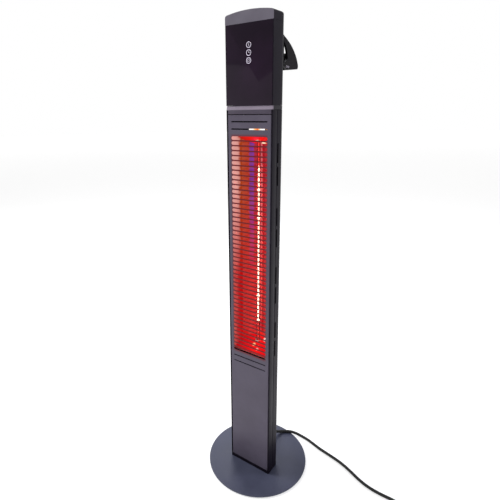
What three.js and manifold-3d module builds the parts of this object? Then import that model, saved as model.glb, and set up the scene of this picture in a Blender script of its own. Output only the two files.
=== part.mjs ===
// Outdoor radiant tower heater: a slim column with a slotted front, a ruby lamp in a polished
// trough behind it, a touch panel in the head, and a round steel base.
// Millimetres, +Z up, front towards -Y, origin at the middle of the base on the floor.
import * as THREE from "three";
import { mergeVertices } from "three/addons/utils/BufferGeometryUtils.js";
import Module from "manifold-3d";

const wasm = await Module();
wasm.setup();

// ---- driving dimensions ----------------------------------------------------------------------

const SEAM = 0.3; // gap between pieces that rest on or slide past each other
const FLOOR_GAP = 0.1; // under what lies on the floor beside the heater

// round base
const BASE_DIAMETER = 288;
const BASE_THICKNESS = 4;
const PAD_COUNT = 5;
const PAD_RADIUS = 9;
const PAD_HEIGHT = 3;
const PAD_INSET = 17; // from the rim of the base to the middle of a pad
const BOLT_RADIUS = 2.85;
const BOLT_HEAD_RADIUS = 5.2;
const BOLT_HEAD_HEIGHT = 2.4;
const BOLT_HOLE_GAP = 0.4;

// column
const COLUMN_WIDTH = 128;
const COLUMN_DEPTH = 59.5;
const COLUMN_CORNER = 22; // radius of its two back corners
const FRONT_FORWARD = 43; // front face, forward of the middle of the base
const PLINTH_HEIGHT = 10.5;
const PLINTH_WALL = 10;
const PLINTH_FLOOR = 4;
const DRAIN_X = 16.5; // left end of the notch that drains the plinth
const DRAIN_WIDTH = 8;
const DRAIN_DEPTH = 12;
const DRAIN_HEIGHT = 2.6;
const BODY_HEIGHT = 998; // from the plinth to the head band
const BAND_HEIGHT = 9;
const BAND_WALL = 8;
const BAND_SKIRT = 10; // the part of the band in front, above the slotted panel
const HEAD_HEIGHT = 176;
const CAP_SKIRT = 19.5; // height of the cap's front face at its two ends
const CAP_RISE = 6.5; // how much higher the cap is in the middle
const CAP_WALL = 3;
const SHEET = 1.2; // steel sheet of the panel and the rear shell
const HEAD_WALL = 2.5;
const GLASS_THICKNESS = 4;

// side rails
const RAIL_WALL = 1.6;
const RAIL_DEPTH = 20.5;
const RAIL_FOOT = 7;
const RAIL_WEB = 2; // thickness of the web and the foot
const WEB_WIDTH = 6;
const WEB_BACK = 9.7; // front face of the web, behind the front of the column
const PANEL_GAP = 2.3; // dark groove between the panel and each rail

// slotted panel
const GRILLE_TOP_DROP = 51; // from the top of the panel to the first open slot
const GRILLE_LENGTH = 579;
const SLOT_PITCH = 11.9;
const SLOT_OPEN = 8.6;
const SLOT_MARGIN = 9.35; // from the end of a slot to the edge of the panel
const LINE_SLOT_OPEN = 3;
const LINE_SLOT_PITCH = 17; // narrow slots above and below the open ones
const LINE_SLOT_COUNT = 2;

// side vents, in pairs
const VENT_PAIRS = 4;
const VENT_PITCH = 153.5;
const VENT_LENGTH = 47;
const VENT_GAP = 7.5;
const VENT_WIDTH = 5;
const VENT_ABOVE_SLOT = 3.5; // from the foot of the lowest open slot to the lowest vent
const VENT_BEHIND_SEAM = 5; // middle of a vent behind the rear shell's front edge

// lamp and reflector
const LAMP_TO_BACK = 14.5; // from the lamp axis to the back face of the column
const LAMP_RADIUS = 5.5;
const LAMP_BORE = 4.3;
const FILAMENT_RADIUS = 1.5;
const HOLDER_RADIUS = 8;
const HOLDER_DEPTH = 8; // how far the tube goes into a holder
const HOLDER_LENGTH = 27;
const REFLECTOR_SHEET = 0.6;
const TROUGH_INSET = 4.5; // from the front face of the column to the mouth of the trough
const REFLECTOR_BACK = 9; // from the lamp axis to the back of the trough
const REFLECTOR_OVER = 9; // how far the trough runs past the open slots
const END_PLATE_RAKE = 28;
const BRACKET_SHEET = 1.5;
const BRACKET_FLANGE = 14;
const SHIELD_HALF = 34;
const SHIELD_SHEET = 0.5;
const WIRE_RADIUS = 1.6;
const WIRE_INSET = 17; // from the side of the column to the wires beside the trough

// carrying handle
const HANDLE_INSET = 4.5; // from the side of the column to the side of the handle
const HANDLE_CHEEK = 5;
const HANDLE_SADDLE = 3;
const HANDLE_TOP_DROP = 21; // from the top of the head to the top of the handle
const HANDLE_HEIGHT = 77;
const GRIP_TOP = 40; // top of the grip above the lowest point of the handle
const GRIP_REACH = 22; // thickness of the grip

// screws
const SCREW_RADIUS = 1.7;
const SCREW_HEAD_RADIUS = 3.9;
const SCREW_HEAD_HEIGHT = 2;
const SCREW_LENGTH = 8;
const SHELL_SCREW_HALF = 24;
const SCREW_BELOW_EDGE = 5; // below the top edge of the flange that a shell screw goes into
const FOOT_FLANGE = 38;
const FLANGE_PAST_SCREW = 10;
const HANDLE_SCREW_HALF = 28;
const HANDLE_SCREW_LOW = 15; // above the lowest point of the handle
const HANDLE_SCREW_HIGH = 14; // below its top

// controls in the head
const BOARD = 1.6;
const TOUCH_BOARD_WIDTH = 60;
const TOUCH_BOARD_HEIGHT = 92;
const TOUCH_PAD_RADIUS = 6;
const TOUCH_PITCH = 16.6;
const TOUCH_FROM_TOP = 45.5; // middle of the first touch pad below the top of the head
const POWER_BOARD_WIDTH = 76;
const POWER_BOARD_HEIGHT = 98;
const RELAY = { width: 19, depth: 11, height: 30, left: -30, up: 50 }; // up from the foot of the board
const MODULE = { width: 28, depth: 11, height: 42, left: 4, up: 42 };
const CARRIER_SHEET = 1.2;
const CARRIER_RETURN = 12;
const BOARD_MARGIN = 8; // of the carrier above and below the power board
const BOARD_POST = 5; // from the edges of the power board to the posts that hold it
const BOARD_POST_RADIUS = 3;

// base compartment
const TILT_WIDTH = 28;
const TILT_HEIGHT = 42;
const TILT_DEPTH = 22;
const TILT_WALL = 2;
const PENDULUM_LENGTH = 22;
const PENDULUM_BOB = 5.5;
const PENDULUM_EYE = 3.6;
const PIN_RADIUS = 1.4;
const SWITCH_ABOVE_PLINTH = 82;
const SWITCH_BODY_X = 8.5; // half width of the body that goes through the shell
const SWITCH_BODY_Z = 13; // half its height
const SWITCH_RIM = 2;
const SWITCH_DEPTH = 17;
const SERVICE_SETBACK = 1; // of the tilt switch behind the middle of the room in front of the plate
const SWITCH_TILT = 8; // degrees that the rocker leans each way
const GLAND_ABOVE_PLINTH = 24.5;
const TERMINAL_HALF = 17;
const TERMINAL_DEPTH = 12;
const TERMINAL_PITCH = 11;
const TERMINAL_HEIGHT = 18;

// cord
const CORD_RADIUS = 4.1;
const CORD_SIDES = 8;
const CORD_STEPS = 56;
const GLAND_RADIUS = 11;
const GLAND_THREAD = 7.7;
const GLAND_LENGTH = 8;
const RELIEF_LENGTH = 28;
const COIL_INNER = 32.4;
const COIL_OUTER = 58;
const COIL_HEIGHT = 17;
const COIL_CENTRE = [455, -8];
const COIL_TURN = 53; // radius of the turn that runs out to the plug
const COIL_LEAVES = -60; // degrees round the coil, from +X, where it runs out
const PLUG_RADIUS = 18.5;
const PLUG_BODY = 34;
const PLUG_NECK = 22;
const PLUG_NECK_RADIUS = 5.5;
const PLUG_SHOULDER = 9; // radius where the neck meets the body
const PIN_HALF = 9.5; // half the distance between the two pins
const PIN_LENGTH = 19;
const PLUG_PIN_RADIUS = 2.4;

// ---- levels and faces that follow ------------------------------------------------------------

const HALF = COLUMN_WIDTH / 2;
const FRONT = -FRONT_FORWARD;
const BACK = FRONT + COLUMN_DEPTH;
const SHELL_FRONT = FRONT + RAIL_DEPTH + 0.7;
const FAR = 2000; // longer than anything that is cut

const BASE_BOTTOM = PAD_HEIGHT;
const BASE_TOP = BASE_BOTTOM + BASE_THICKNESS;
const BODY_BOTTOM = BASE_TOP + PLINTH_HEIGHT;
const BODY_TOP = BODY_BOTTOM + BODY_HEIGHT;
const HEAD_BOTTOM = BODY_TOP + BAND_HEIGHT;
const HEAD_TOP = HEAD_BOTTOM + HEAD_HEIGHT;
const PANEL_HALF = HALF - RAIL_WALL - PANEL_GAP;
const PANEL_TOP = BODY_TOP - BAND_SKIRT;

const SLOT_HALF = PANEL_HALF - SLOT_MARGIN;
const SLOT_COUNT = Math.floor((GRILLE_LENGTH + SLOT_PITCH - SLOT_OPEN) / SLOT_PITCH);
const GRILLE_TOP = PANEL_TOP - GRILLE_TOP_DROP;
const GRILLE_BOTTOM = GRILLE_TOP - (SLOT_COUNT - 1) * SLOT_PITCH - SLOT_OPEN;

const LAMP_Y = BACK - LAMP_TO_BACK;
const TROUGH_TOP = GRILLE_TOP + REFLECTOR_OVER;
const TROUGH_BOTTOM = GRILLE_BOTTOM - REFLECTOR_OVER;
const TROUGH_FRONT = FRONT + TROUGH_INSET;
const TROUGH_BACK = LAMP_Y + REFLECTOR_BACK;
const BRACKET_TOP = TROUGH_TOP + SEAM;
const BRACKET_BOTTOM = TROUGH_BOTTOM - SEAM - BRACKET_SHEET;
const WEB_REAR = FRONT + WEB_BACK + RAIL_WEB;
const FOOT_FRONT = FRONT + RAIL_DEPTH - RAIL_WEB;
const FLANGE_Y = BACK - SHEET - SEAM;
const TONGUE_HALF = HALF - RAIL_WALL - SEAM;
const TROUGH_MOUTH = TONGUE_HALF - WEB_WIDTH - SEAM - REFLECTOR_SHEET;
const WIRE_X = HALF - WIRE_INSET;
const WIRE_Y = LAMP_Y - 1;
const HANDLE_HALF = HALF - HANDLE_INSET;

const SHELL_SCREW_LOW = BODY_BOTTOM + SEAM + FOOT_FLANGE - SCREW_BELOW_EDGE;
const SHELL_SCREW_HIGH = BRACKET_TOP + BRACKET_FLANGE - SCREW_BELOW_EDGE;
const SWITCH_Z = BODY_BOTTOM + SWITCH_ABOVE_PLINTH;
const GLAND_Z = BODY_BOTTOM + GLAND_ABOVE_PLINTH;

// ---- geometry helpers ------------------------------------------------------------------------

function toSolid(geometry) {
  const plain = geometry.clone();
  plain.deleteAttribute("normal");
  plain.deleteAttribute("uv");
  const merged = mergeVertices(plain, 1e-4);
  const vertProperties = new Float32Array(merged.attributes.position.array);
  const triVerts = new Uint32Array(merged.index.array);
  return new wasm.Manifold(new wasm.Mesh({ numProp: 3, vertProperties, triVerts }));
}

function toGeometry(solid) {
  const mesh = solid.getMesh();
  const geometry = new THREE.BufferGeometry();
  geometry.setAttribute("position", new THREE.BufferAttribute(mesh.vertProperties, 3));
  geometry.setIndex(new THREE.BufferAttribute(mesh.triVerts, 1));
  geometry.computeVertexNormals();
  return geometry;
}

function shapeOf(points) {
  return new THREE.Shape(points.map(([x, y]) => new THREE.Vector2(x, y)));
}

function rectangle(x0, y0, x1, y1) {
  return shapeOf([[x0, y0], [x1, y0], [x1, y1], [x0, y1]]);
}

function extruded(shape, depth, curveSegments = 8) {
  return new THREE.ExtrudeGeometry(shape, { depth, bevelEnabled: false, steps: 1, curveSegments });
}

// a plan shape (x, y) raised from z0 to z1
function prismZ(shape, z0, z1, curveSegments) {
  return toSolid(extruded(shape, z1 - z0, curveSegments).translate(0, 0, z0));
}

// a side shape (y, z) carried from x0 to x1
function prismX(shape, x0, x1, curveSegments) {
  const turn = new THREE.Matrix4().set(0, 0, 1, 0, 1, 0, 0, 0, 0, 1, 0, 0, 0, 0, 0, 1);
  return toSolid(extruded(shape, x1 - x0, curveSegments).applyMatrix4(turn).translate(x0, 0, 0));
}

// a front shape (x, z) carried from y0 to y1
function prismY(shape, y0, y1, curveSegments) {
  const turned = extruded(shape, y1 - y0, curveSegments).rotateX(Math.PI / 2);
  return toSolid(turned.translate(0, y1, 0));
}

function box(x0, x1, y0, y1, z0, z1) {
  const size = new THREE.BoxGeometry(x1 - x0, y1 - y0, z1 - z0);
  return toSolid(size.translate((x0 + x1) / 2, (y0 + y1) / 2, (z0 + z1) / 2));
}

// a profile of [radius, height] turned about +Z
function turned(profile, segments = 20) {
  const points = profile.map(([radius, height]) => new THREE.Vector2(radius, height));
  return new THREE.LatheGeometry(points, segments).rotateX(Math.PI / 2);
}

function rod(x, y, z0, z1, radius, segments = 16) {
  const profile = [[0, z0], [radius, z0], [radius, z1], [0, z1]];
  return toSolid(turned(profile, segments).translate(x, y, 0));
}

// a rod along +Y, from y0 to y1
function rodY(x, z, y0, y1, radius, segments = 16) {
  const profile = [[0, -y1], [radius, -y1], [radius, -y0], [0, -y0]];
  return toSolid(turned(profile, segments).rotateX(Math.PI / 2).translate(x, 0, z));
}

// the outline of sheet metal bent along a line, half its thickness to each side
function bentSheet(line, thickness) {
  const points = line.map(([x, y]) => new THREE.Vector2(x, y));
  const left = [];
  const right = [];
  points.forEach((point, i) => {
    const before = points[Math.max(i - 1, 0)];
    const after = points[Math.min(i + 1, points.length - 1)];
    const into = point.clone().sub(before).normalize();
    const out = after.clone().sub(point).normalize();
    const first = i === 0 ? out : into;
    const last = i === points.length - 1 ? into : out;
    const normal = new THREE.Vector2(-first.y - last.y, first.x + last.x).normalize();
    const across = normal.dot(new THREE.Vector2(-first.y, first.x));
    const reach = thickness / 2 / across;
    left.push([point.x + normal.x * reach, point.y + normal.y * reach]);
    right.unshift([point.x - normal.x * reach, point.y - normal.y * reach]);
  });
  return shapeOf([...left, ...right]);
}

function mirrored(halfLine) {
  const other = halfLine.map(([x, y]) => [-x, y]).reverse();
  const shared = Math.abs(halfLine[halfLine.length - 1][0]) < 1e-6 ? 1 : 0;
  return [...halfLine, ...other.slice(shared)];
}

// a slot with half-round ends, in a front view
function longSlot(half, z, open) {
  const radius = open / 2;
  const slot = new THREE.Shape();
  slot.absarc(half - radius, z, radius, -Math.PI / 2, Math.PI / 2, false);
  slot.absarc(-half + radius, z, radius, Math.PI / 2, (3 * Math.PI) / 2, false);
  return slot;
}

// the column seen from above, smaller all round by inset
function columnPlan(inset) {
  const half = HALF - inset;
  const corner = COLUMN_CORNER - inset;
  const plan = new THREE.Shape();
  plan.moveTo(-half, FRONT + inset);
  plan.lineTo(half, FRONT + inset);
  plan.absarc(HALF - COLUMN_CORNER, BACK - COLUMN_CORNER, corner, 0, Math.PI / 2, false);
  plan.absarc(COLUMN_CORNER - HALF, BACK - COLUMN_CORNER, corner, Math.PI / 2, Math.PI, false);
  plan.closePath();
  return plan;
}

function columnBlock(inset, z0, z1) {
  return prismZ(columnPlan(inset), z0, z1, 5);
}

// ---- materials and nodes ---------------------------------------------------------------------

const finish = {
  black_coat: { color: 0x2a2a30, roughness: 0.5, metalness: 0.2 },
  graphite_coat: { color: 0x5b5a66, roughness: 0.45, metalness: 0.4 },
  base_coat: { color: 0x4b4e5e, roughness: 0.5, metalness: 0.3 },
  cap_coat: { color: 0x6d6873, roughness: 0.4, metalness: 0.5 },
  dark_glass: { color: 0x17131c, roughness: 0.05, metalness: 0 },
  black_plastic: { color: 0x141416, roughness: 0.45, metalness: 0 },
  mirror_aluminium: { color: 0xdadada, roughness: 0.08, metalness: 1 },
  plain_steel: { color: 0xa5a7aa, roughness: 0.35, metalness: 1 },
  ruby_quartz: { color: 0xb0101a, roughness: 0.05, metalness: 0 },
  tungsten: { color: 0xffd9a8, roughness: 0.5, metalness: 1 },
  ceramic: { color: 0xe9e4d8, roughness: 0.6, metalness: 0 },
  board_green: { color: 0x1f5a36, roughness: 0.5, metalness: 0 },
  part_blue: { color: 0x2d4f8f, roughness: 0.5, metalness: 0 },
  rubber: { color: 0x19191b, roughness: 0.8, metalness: 0 },
  brass: { color: 0xc9a862, roughness: 0.3, metalness: 1 },
};

const heater = new THREE.Group();

function section(name) {
  const group = new THREE.Group();
  group.name = name;
  heater.add(group);
  return group;
}

function add(group, name, shape, look, position = [0, 0, 0]) {
  const geometry = shape.isBufferGeometry ? shape : toGeometry(shape);
  const mesh = new THREE.Mesh(geometry, new THREE.MeshStandardMaterial(finish[look]));
  mesh.name = name;
  mesh.position.set(...position);
  group.add(mesh);
  return mesh;
}

// ---- base ------------------------------------------------------------------------------------

const BOLT_INSET = 26; // from the side of the column
const BOLT_DEPTH = 17; // from the front and from the back of the column
const BOLT_SPOTS = [
  [BOLT_INSET - HALF, FRONT + BOLT_DEPTH],
  [HALF - BOLT_INSET, FRONT + BOLT_DEPTH],
  [BOLT_INSET - HALF, BACK - BOLT_DEPTH],
  [HALF - BOLT_INSET, BACK - BOLT_DEPTH],
];
const FOOT_PLATE_TOP = BODY_BOTTOM + SEAM + BRACKET_SHEET;
const WELD_NUT_HEIGHT = 6;
const WELD_NUT_RADIUS = 5.5;

function drilled(solid, spots, radius, z0, z1) {
  return spots.reduce((left, [x, y]) => left.subtract(rod(x, y, z0, z1, radius)), solid);
}

function baseDisc() {
  const edge = 0.8;
  const radius = BASE_DIAMETER / 2;
  const disc = turned([
    [0, BASE_BOTTOM],
    [radius - edge, BASE_BOTTOM],
    [radius, BASE_BOTTOM + edge],
    [radius, BASE_TOP - edge],
    [radius - edge, BASE_TOP],
    [0, BASE_TOP],
  ], 72);
  return drilled(toSolid(disc), BOLT_SPOTS, BOLT_RADIUS + BOLT_HOLE_GAP, 0, BASE_TOP + 1);
}

function footPlinth() {
  const block = columnBlock(0, BASE_TOP, BODY_BOTTOM);
  const pocket = columnBlock(PLINTH_WALL, BASE_TOP + PLINTH_FLOOR, BODY_BOTTOM + 1);
  const low = BASE_TOP + PLINTH_FLOOR + 0.4;
  const right = DRAIN_X + DRAIN_WIDTH;
  const drain = box(DRAIN_X, right, FRONT - 1, FRONT + DRAIN_DEPTH, low, low + DRAIN_HEIGHT);
  const shaped = block.subtract(pocket).subtract(drain);
  return drilled(shaped, BOLT_SPOTS, BOLT_RADIUS + BOLT_HOLE_GAP, 0, BODY_BOTTOM + 1);
}

const base = section("base");
add(base, "base_disc", baseDisc(), "base_coat");

const footPad = [[0, 0], [PAD_RADIUS - 1, 0], [PAD_RADIUS, 1], [PAD_RADIUS, PAD_HEIGHT], [0, PAD_HEIGHT]];
for (let i = 0; i < PAD_COUNT; i += 1) {
  const angle = -Math.PI / 2 + (i * 2 * Math.PI) / PAD_COUNT;
  const reach = BASE_DIAMETER / 2 - PAD_INSET;
  const spot = [reach * Math.cos(angle), reach * Math.sin(angle), 0];
  add(base, `foot_pad_${i + 1}`, turned(footPad, 16), "rubber", spot);
}

add(base, "foot_plinth", footPlinth(), "black_coat");

const baseBolt = [
  [0, -BOLT_HEAD_HEIGHT],
  [BOLT_HEAD_RADIUS, -BOLT_HEAD_HEIGHT],
  [BOLT_HEAD_RADIUS, -SEAM],
  [BOLT_RADIUS, -SEAM],
  [BOLT_RADIUS, FOOT_PLATE_TOP + WELD_NUT_HEIGHT - BASE_BOTTOM],
  [0, FOOT_PLATE_TOP + WELD_NUT_HEIGHT - BASE_BOTTOM],
];
BOLT_SPOTS.forEach(([x, y], i) => {
  add(base, `base_bolt_${i + 1}`, turned(baseBolt, 12), "plain_steel", [x, y, BASE_BOTTOM]);
});

// ---- column ----------------------------------------------------------------------------------

function railPlan(side) {
  const inner = HALF - RAIL_WALL;
  const web = inner - WEB_WIDTH;
  const rear = FRONT + RAIL_DEPTH;
  return shapeOf([
    [HALF, FRONT],
    [HALF, rear],
    [inner - RAIL_FOOT, rear],
    [inner - RAIL_FOOT, rear - RAIL_WEB],
    [inner, rear - RAIL_WEB],
    [inner, WEB_REAR],
    [web, WEB_REAR],
    [web, WEB_REAR - RAIL_WEB],
    [inner, WEB_REAR - RAIL_WEB],
    [inner, FRONT],
  ].map(([x, y]) => [side * x, y]));
}

// a level plate that slots in between the two rails, with a flange up its back edge
function crossPlate(z, flangeHeight) {
  const webHalf = TONGUE_HALF - WEB_WIDTH - SEAM;
  const footHalf = TONGUE_HALF - RAIL_FOOT - SEAM;
  const plan = shapeOf([
    [-webHalf, TROUGH_FRONT],
    [webHalf, TROUGH_FRONT],
    [webHalf, WEB_REAR + SEAM],
    [TONGUE_HALF, WEB_REAR + SEAM],
    [TONGUE_HALF, FOOT_FRONT - SEAM],
    [footHalf, FOOT_FRONT - SEAM],
    [footHalf, BACK],
    [-footHalf, BACK],
    [-footHalf, FOOT_FRONT - SEAM],
    [-TONGUE_HALF, FOOT_FRONT - SEAM],
    [-TONGUE_HALF, WEB_REAR + SEAM],
    [-webHalf, WEB_REAR + SEAM],
  ]);
  const plate = prismZ(plan, z, z + BRACKET_SHEET);
  const flangeHalf = SHELL_SCREW_HALF + FLANGE_PAST_SCREW;
  const flange = box(-flangeHalf, flangeHalf, FLANGE_Y - BRACKET_SHEET, FLANGE_Y, z, z + flangeHeight);
  const inside = columnBlock(SHEET + SEAM, z - 1, z + flangeHeight + 1);
  const joined = plate.add(flange).intersect(inside);
  const screwZ = z + flangeHeight - SCREW_BELOW_EDGE;
  return [-1, 1].reduce((left, side) => {
    const hole = rodY(side * SHELL_SCREW_HALF, screwZ, 0, BACK, SCREW_RADIUS + SEAM);
    return left.subtract(hole);
  }, joined);
}

function footBracket() {
  const plateZ = BODY_BOTTOM + SEAM;
  const nuts = BOLT_SPOTS.reduce((joined, [x, y]) => {
    return joined.add(rod(x, y, plateZ, FOOT_PLATE_TOP + WELD_NUT_HEIGHT, WELD_NUT_RADIUS, 6));
  }, crossPlate(plateZ, FOOT_FLANGE));
  const notchHalf = GLAND_THREAD + 3;
  const notch = box(-notchHalf, notchHalf, FLANGE_Y - 3, BACK, FOOT_PLATE_TOP + 2, FAR);
  const hole = BOLT_RADIUS + BOLT_HOLE_GAP;
  const top = FOOT_PLATE_TOP + WELD_NUT_HEIGHT + 1;
  return drilled(nuts.subtract(notch), BOLT_SPOTS, hole, plateZ - 1, top);
}

function frontPanel() {
  const z0 = BODY_BOTTOM + SEAM;
  const returnDepth = WEB_BACK - SEAM - SHEET / 2;
  const centre = FRONT + SHEET / 2;
  const edge = PANEL_HALF - SHEET / 2;
  const plan = bentSheet([
    [-edge, centre + returnDepth],
    [-edge, centre],
    [edge, centre],
    [edge, centre + returnDepth],
  ], SHEET);
  const slots = [];
  for (let i = 0; i < SLOT_COUNT; i += 1) {
    slots.push([GRILLE_TOP - SLOT_OPEN / 2 - i * SLOT_PITCH, SLOT_OPEN]);
  }
  for (let i = 1; i <= LINE_SLOT_COUNT; i += 1) {
    slots.push([GRILLE_TOP + i * LINE_SLOT_PITCH, LINE_SLOT_OPEN]);
    slots.push([GRILLE_BOTTOM - i * LINE_SLOT_PITCH, LINE_SLOT_OPEN]);
  }
  return slots.reduce((left, [z, open]) => {
    return left.subtract(prismY(longSlot(SLOT_HALF, z, open), FRONT - 1, FRONT + SHEET + 1, 2));
  }, prismZ(plan, z0, PANEL_TOP - SEAM));
}

// the rear shell seen from above: sheet bent round the back, with a lip turned in at each front edge
function shellPlan() {
  const lipX = HALF - RAIL_WALL - RAIL_FOOT;
  const inside = HALF - SHEET;
  const centreX = HALF - COLUMN_CORNER;
  const centreY = BACK - COLUMN_CORNER;
  const inner = COLUMN_CORNER - SHEET;
  const plan = new THREE.Shape();
  plan.moveTo(lipX, SHELL_FRONT);
  plan.lineTo(HALF, SHELL_FRONT);
  plan.absarc(centreX, centreY, COLUMN_CORNER, 0, Math.PI / 2, false);
  plan.absarc(-centreX, centreY, COLUMN_CORNER, Math.PI / 2, Math.PI, false);
  plan.lineTo(-HALF, SHELL_FRONT);
  plan.lineTo(-lipX, SHELL_FRONT);
  plan.lineTo(-lipX, SHELL_FRONT + SHEET);
  plan.lineTo(-inside, SHELL_FRONT + SHEET);
  plan.absarc(-centreX, centreY, inner, Math.PI, Math.PI / 2, true);
  plan.absarc(centreX, centreY, inner, Math.PI / 2, 0, true);
  plan.lineTo(inside, SHELL_FRONT + SHEET);
  plan.lineTo(lipX, SHELL_FRONT + SHEET);
  return plan;
}

function rearShell() {
  let shell = prismZ(shellPlan(), BODY_BOTTOM + SEAM, BODY_TOP - SEAM, 5);
  const ventY = SHELL_FRONT + VENT_BEHIND_SEAM;
  for (let pair = 0; pair < VENT_PAIRS; pair += 1) {
    for (let half = 0; half < 2; half += 1) {
      const lowest = GRILLE_BOTTOM + VENT_ABOVE_SLOT;
      const low = lowest + pair * VENT_PITCH + half * (VENT_LENGTH + VENT_GAP);
      const vent = rectangle(ventY - VENT_WIDTH / 2, low, ventY + VENT_WIDTH / 2, low + VENT_LENGTH);
      shell = shell.subtract(prismX(vent, -FAR, FAR));
    }
  }
  for (const side of [-1, 1]) {
    for (const z of [SHELL_SCREW_LOW, SHELL_SCREW_HIGH]) {
      shell = shell.subtract(rodY(side * SHELL_SCREW_HALF, z, 0, BACK + 1, SCREW_RADIUS + SEAM));
    }
  }
  const mouthX = SWITCH_BODY_X + SEAM;
  const mouthZ = SWITCH_BODY_Z + SEAM;
  const mouth = box(-mouthX, mouthX, 0, BACK + 1, SWITCH_Z - mouthZ, SWITCH_Z + mouthZ);
  return shell.subtract(mouth).subtract(rodY(0, GLAND_Z, 0, BACK + 1, GLAND_THREAD + SEAM));
}

function headBand() {
  const ring = columnBlock(0, BODY_TOP, HEAD_BOTTOM).subtract(columnBlock(BAND_WALL, 0, FAR));
  const skirt = box(-PANEL_HALF, PANEL_HALF, FRONT, FRONT + WEB_BACK - SEAM, PANEL_TOP, BODY_TOP + 1);
  return ring.add(skirt);
}

const column = section("column");
add(column, "foot_bracket", footBracket(), "plain_steel");
add(column, "rail_left", prismZ(railPlan(-1), BODY_BOTTOM + SEAM, BODY_TOP - SEAM), "black_coat");
add(column, "rail_right", prismZ(railPlan(1), BODY_BOTTOM + SEAM, BODY_TOP - SEAM), "black_coat");
add(column, "front_panel", frontPanel(), "graphite_coat");
add(column, "rear_shell", rearShell(), "black_coat");
add(column, "head_band", headBand(), "graphite_coat");

// a pan-head screw along Y, its head outwards at the back
const shellScrew = [
  [0, -SCREW_HEAD_HEIGHT - SEAM],
  [SCREW_HEAD_RADIUS - 1, -SCREW_HEAD_HEIGHT - SEAM],
  [SCREW_HEAD_RADIUS, -SCREW_HEAD_HEIGHT + 0.6],
  [SCREW_HEAD_RADIUS, -SEAM],
  [SCREW_RADIUS, -SEAM],
  [SCREW_RADIUS, SCREW_LENGTH],
  [0, SCREW_LENGTH],
];
let shellScrewCount = 0;
for (const z of [SHELL_SCREW_LOW, SHELL_SCREW_HIGH]) {
  for (const side of [-1, 1]) {
    shellScrewCount += 1;
    const screw = turned(shellScrew, 16).rotateX(Math.PI / 2);
    const spot = [side * SHELL_SCREW_HALF, BACK, z];
    add(column, `shell_screw_${shellScrewCount}`, screw, "plain_steel", spot);
  }
}

// ---- head ------------------------------------------------------------------------------------

const HEAD_LEDGE = 7;

function headHousing() {
  const z0 = HEAD_BOTTOM + SEAM;
  const z1 = HEAD_TOP - SEAM;
  const glassBack = FRONT + GLASS_THICKNESS + SEAM;
  const wall = columnBlock(0, z0, z1).subtract(columnBlock(HEAD_WALL, z0 - 1, z1 + 1));
  const opening = HALF - RAIL_WALL;
  const ledgeBack = glassBack + HEAD_WALL;
  const ledge = box(-HALF + 1, HALF - 1, glassBack, ledgeBack, z0, z1)
    .subtract(box(HEAD_LEDGE - HALF, HALF - HEAD_LEDGE, glassBack - 1, ledgeBack + 1, z0 - 1, z1 + 1));
  const front = box(-opening, opening, FRONT - 1, glassBack, z0 - 1, z1 + 1);
  const clear = box(HEAD_LEDGE - HALF, HALF - HEAD_LEDGE, FRONT - 1, glassBack + 1, z0 - 1, z1 + 1);
  let housing = wall.subtract(front).subtract(clear).add(ledge);
  for (const [x, z] of HANDLE_SCREW_SPOTS) {
    housing = housing.subtract(rodY(x, z, 0, BACK + 1, SCREW_RADIUS + SEAM));
  }
  return housing;
}

function glassPanel() {
  const half = HALF - RAIL_WALL - SEAM;
  return box(-half, half, FRONT, FRONT + GLASS_THICKNESS, HEAD_BOTTOM + SEAM, HEAD_TOP - SEAM);
}

// an arch seen from the front, from z0 up to a crown that is rise above the two ends
function archFront(half, z0, z1, rise) {
  const radius = (HALF * HALF + rise * rise) / (2 * rise);
  const sweep = Math.asin(half / radius);
  const centre = z1 + rise - radius;
  const arch = new THREE.Shape();
  arch.moveTo(-half, z0);
  arch.lineTo(half, z0);
  arch.absarc(0, centre, radius, Math.PI / 2 - sweep, Math.PI / 2 + sweep, false);
  arch.closePath();
  return arch;
}

function topCap() {
  const end = HEAD_TOP + CAP_SKIRT;
  const outer = prismY(archFront(HALF, HEAD_TOP, end, CAP_RISE), FRONT, BACK + 1, 24);
  const inner = prismY(archFront(HALF, HEAD_TOP - 1, end - CAP_WALL, CAP_RISE), FRONT, BACK + 1, 24);
  const block = outer.intersect(columnBlock(0, HEAD_TOP, end + CAP_RISE + 1));
  return block.subtract(inner.intersect(columnBlock(CAP_WALL, HEAD_TOP - 1, end + CAP_RISE)));
}

const HANDLE_TOP = HEAD_TOP - HANDLE_TOP_DROP;
const HANDLE_LOW = HANDLE_TOP - HANDLE_HEIGHT;
const HANDLE_SCREW_SPOTS = [
  [-HANDLE_SCREW_HALF, HANDLE_LOW + HANDLE_SCREW_LOW],
  [HANDLE_SCREW_HALF, HANDLE_LOW + HANDLE_SCREW_LOW],
  [-HANDLE_SCREW_HALF, HANDLE_TOP - HANDLE_SCREW_HIGH],
  [HANDLE_SCREW_HALF, HANDLE_TOP - HANDLE_SCREW_HIGH],
];

// the handle seen from the side: out from the back wall, heights above its lowest point
function handleSide() {
  const side = new THREE.Shape();
  side.moveTo(BACK - 14, HANDLE_TOP);
  side.quadraticCurveTo(BACK + 50, HANDLE_LOW + 53, BACK + 65.5, HANDLE_LOW + 14);
  side.quadraticCurveTo(BACK + 67, HANDLE_LOW + 6, BACK + 61, HANDLE_LOW + 4.5);
  side.lineTo(BACK + 12, HANDLE_LOW);
  side.lineTo(BACK - 14, HANDLE_LOW + 13);
  side.closePath();
  return side;
}

function handleWindow() {
  const window = new THREE.Shape();
  window.moveTo(BACK - 8, HANDLE_LOW + 48);
  window.quadraticCurveTo(BACK + 9, HANDLE_LOW + 40, BACK + 12, HANDLE_LOW + 23);
  window.lineTo(BACK + 2, HANDLE_LOW + 16);
  window.lineTo(BACK - 8, HANDLE_LOW + 16);
  window.closePath();
  return window;
}

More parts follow.
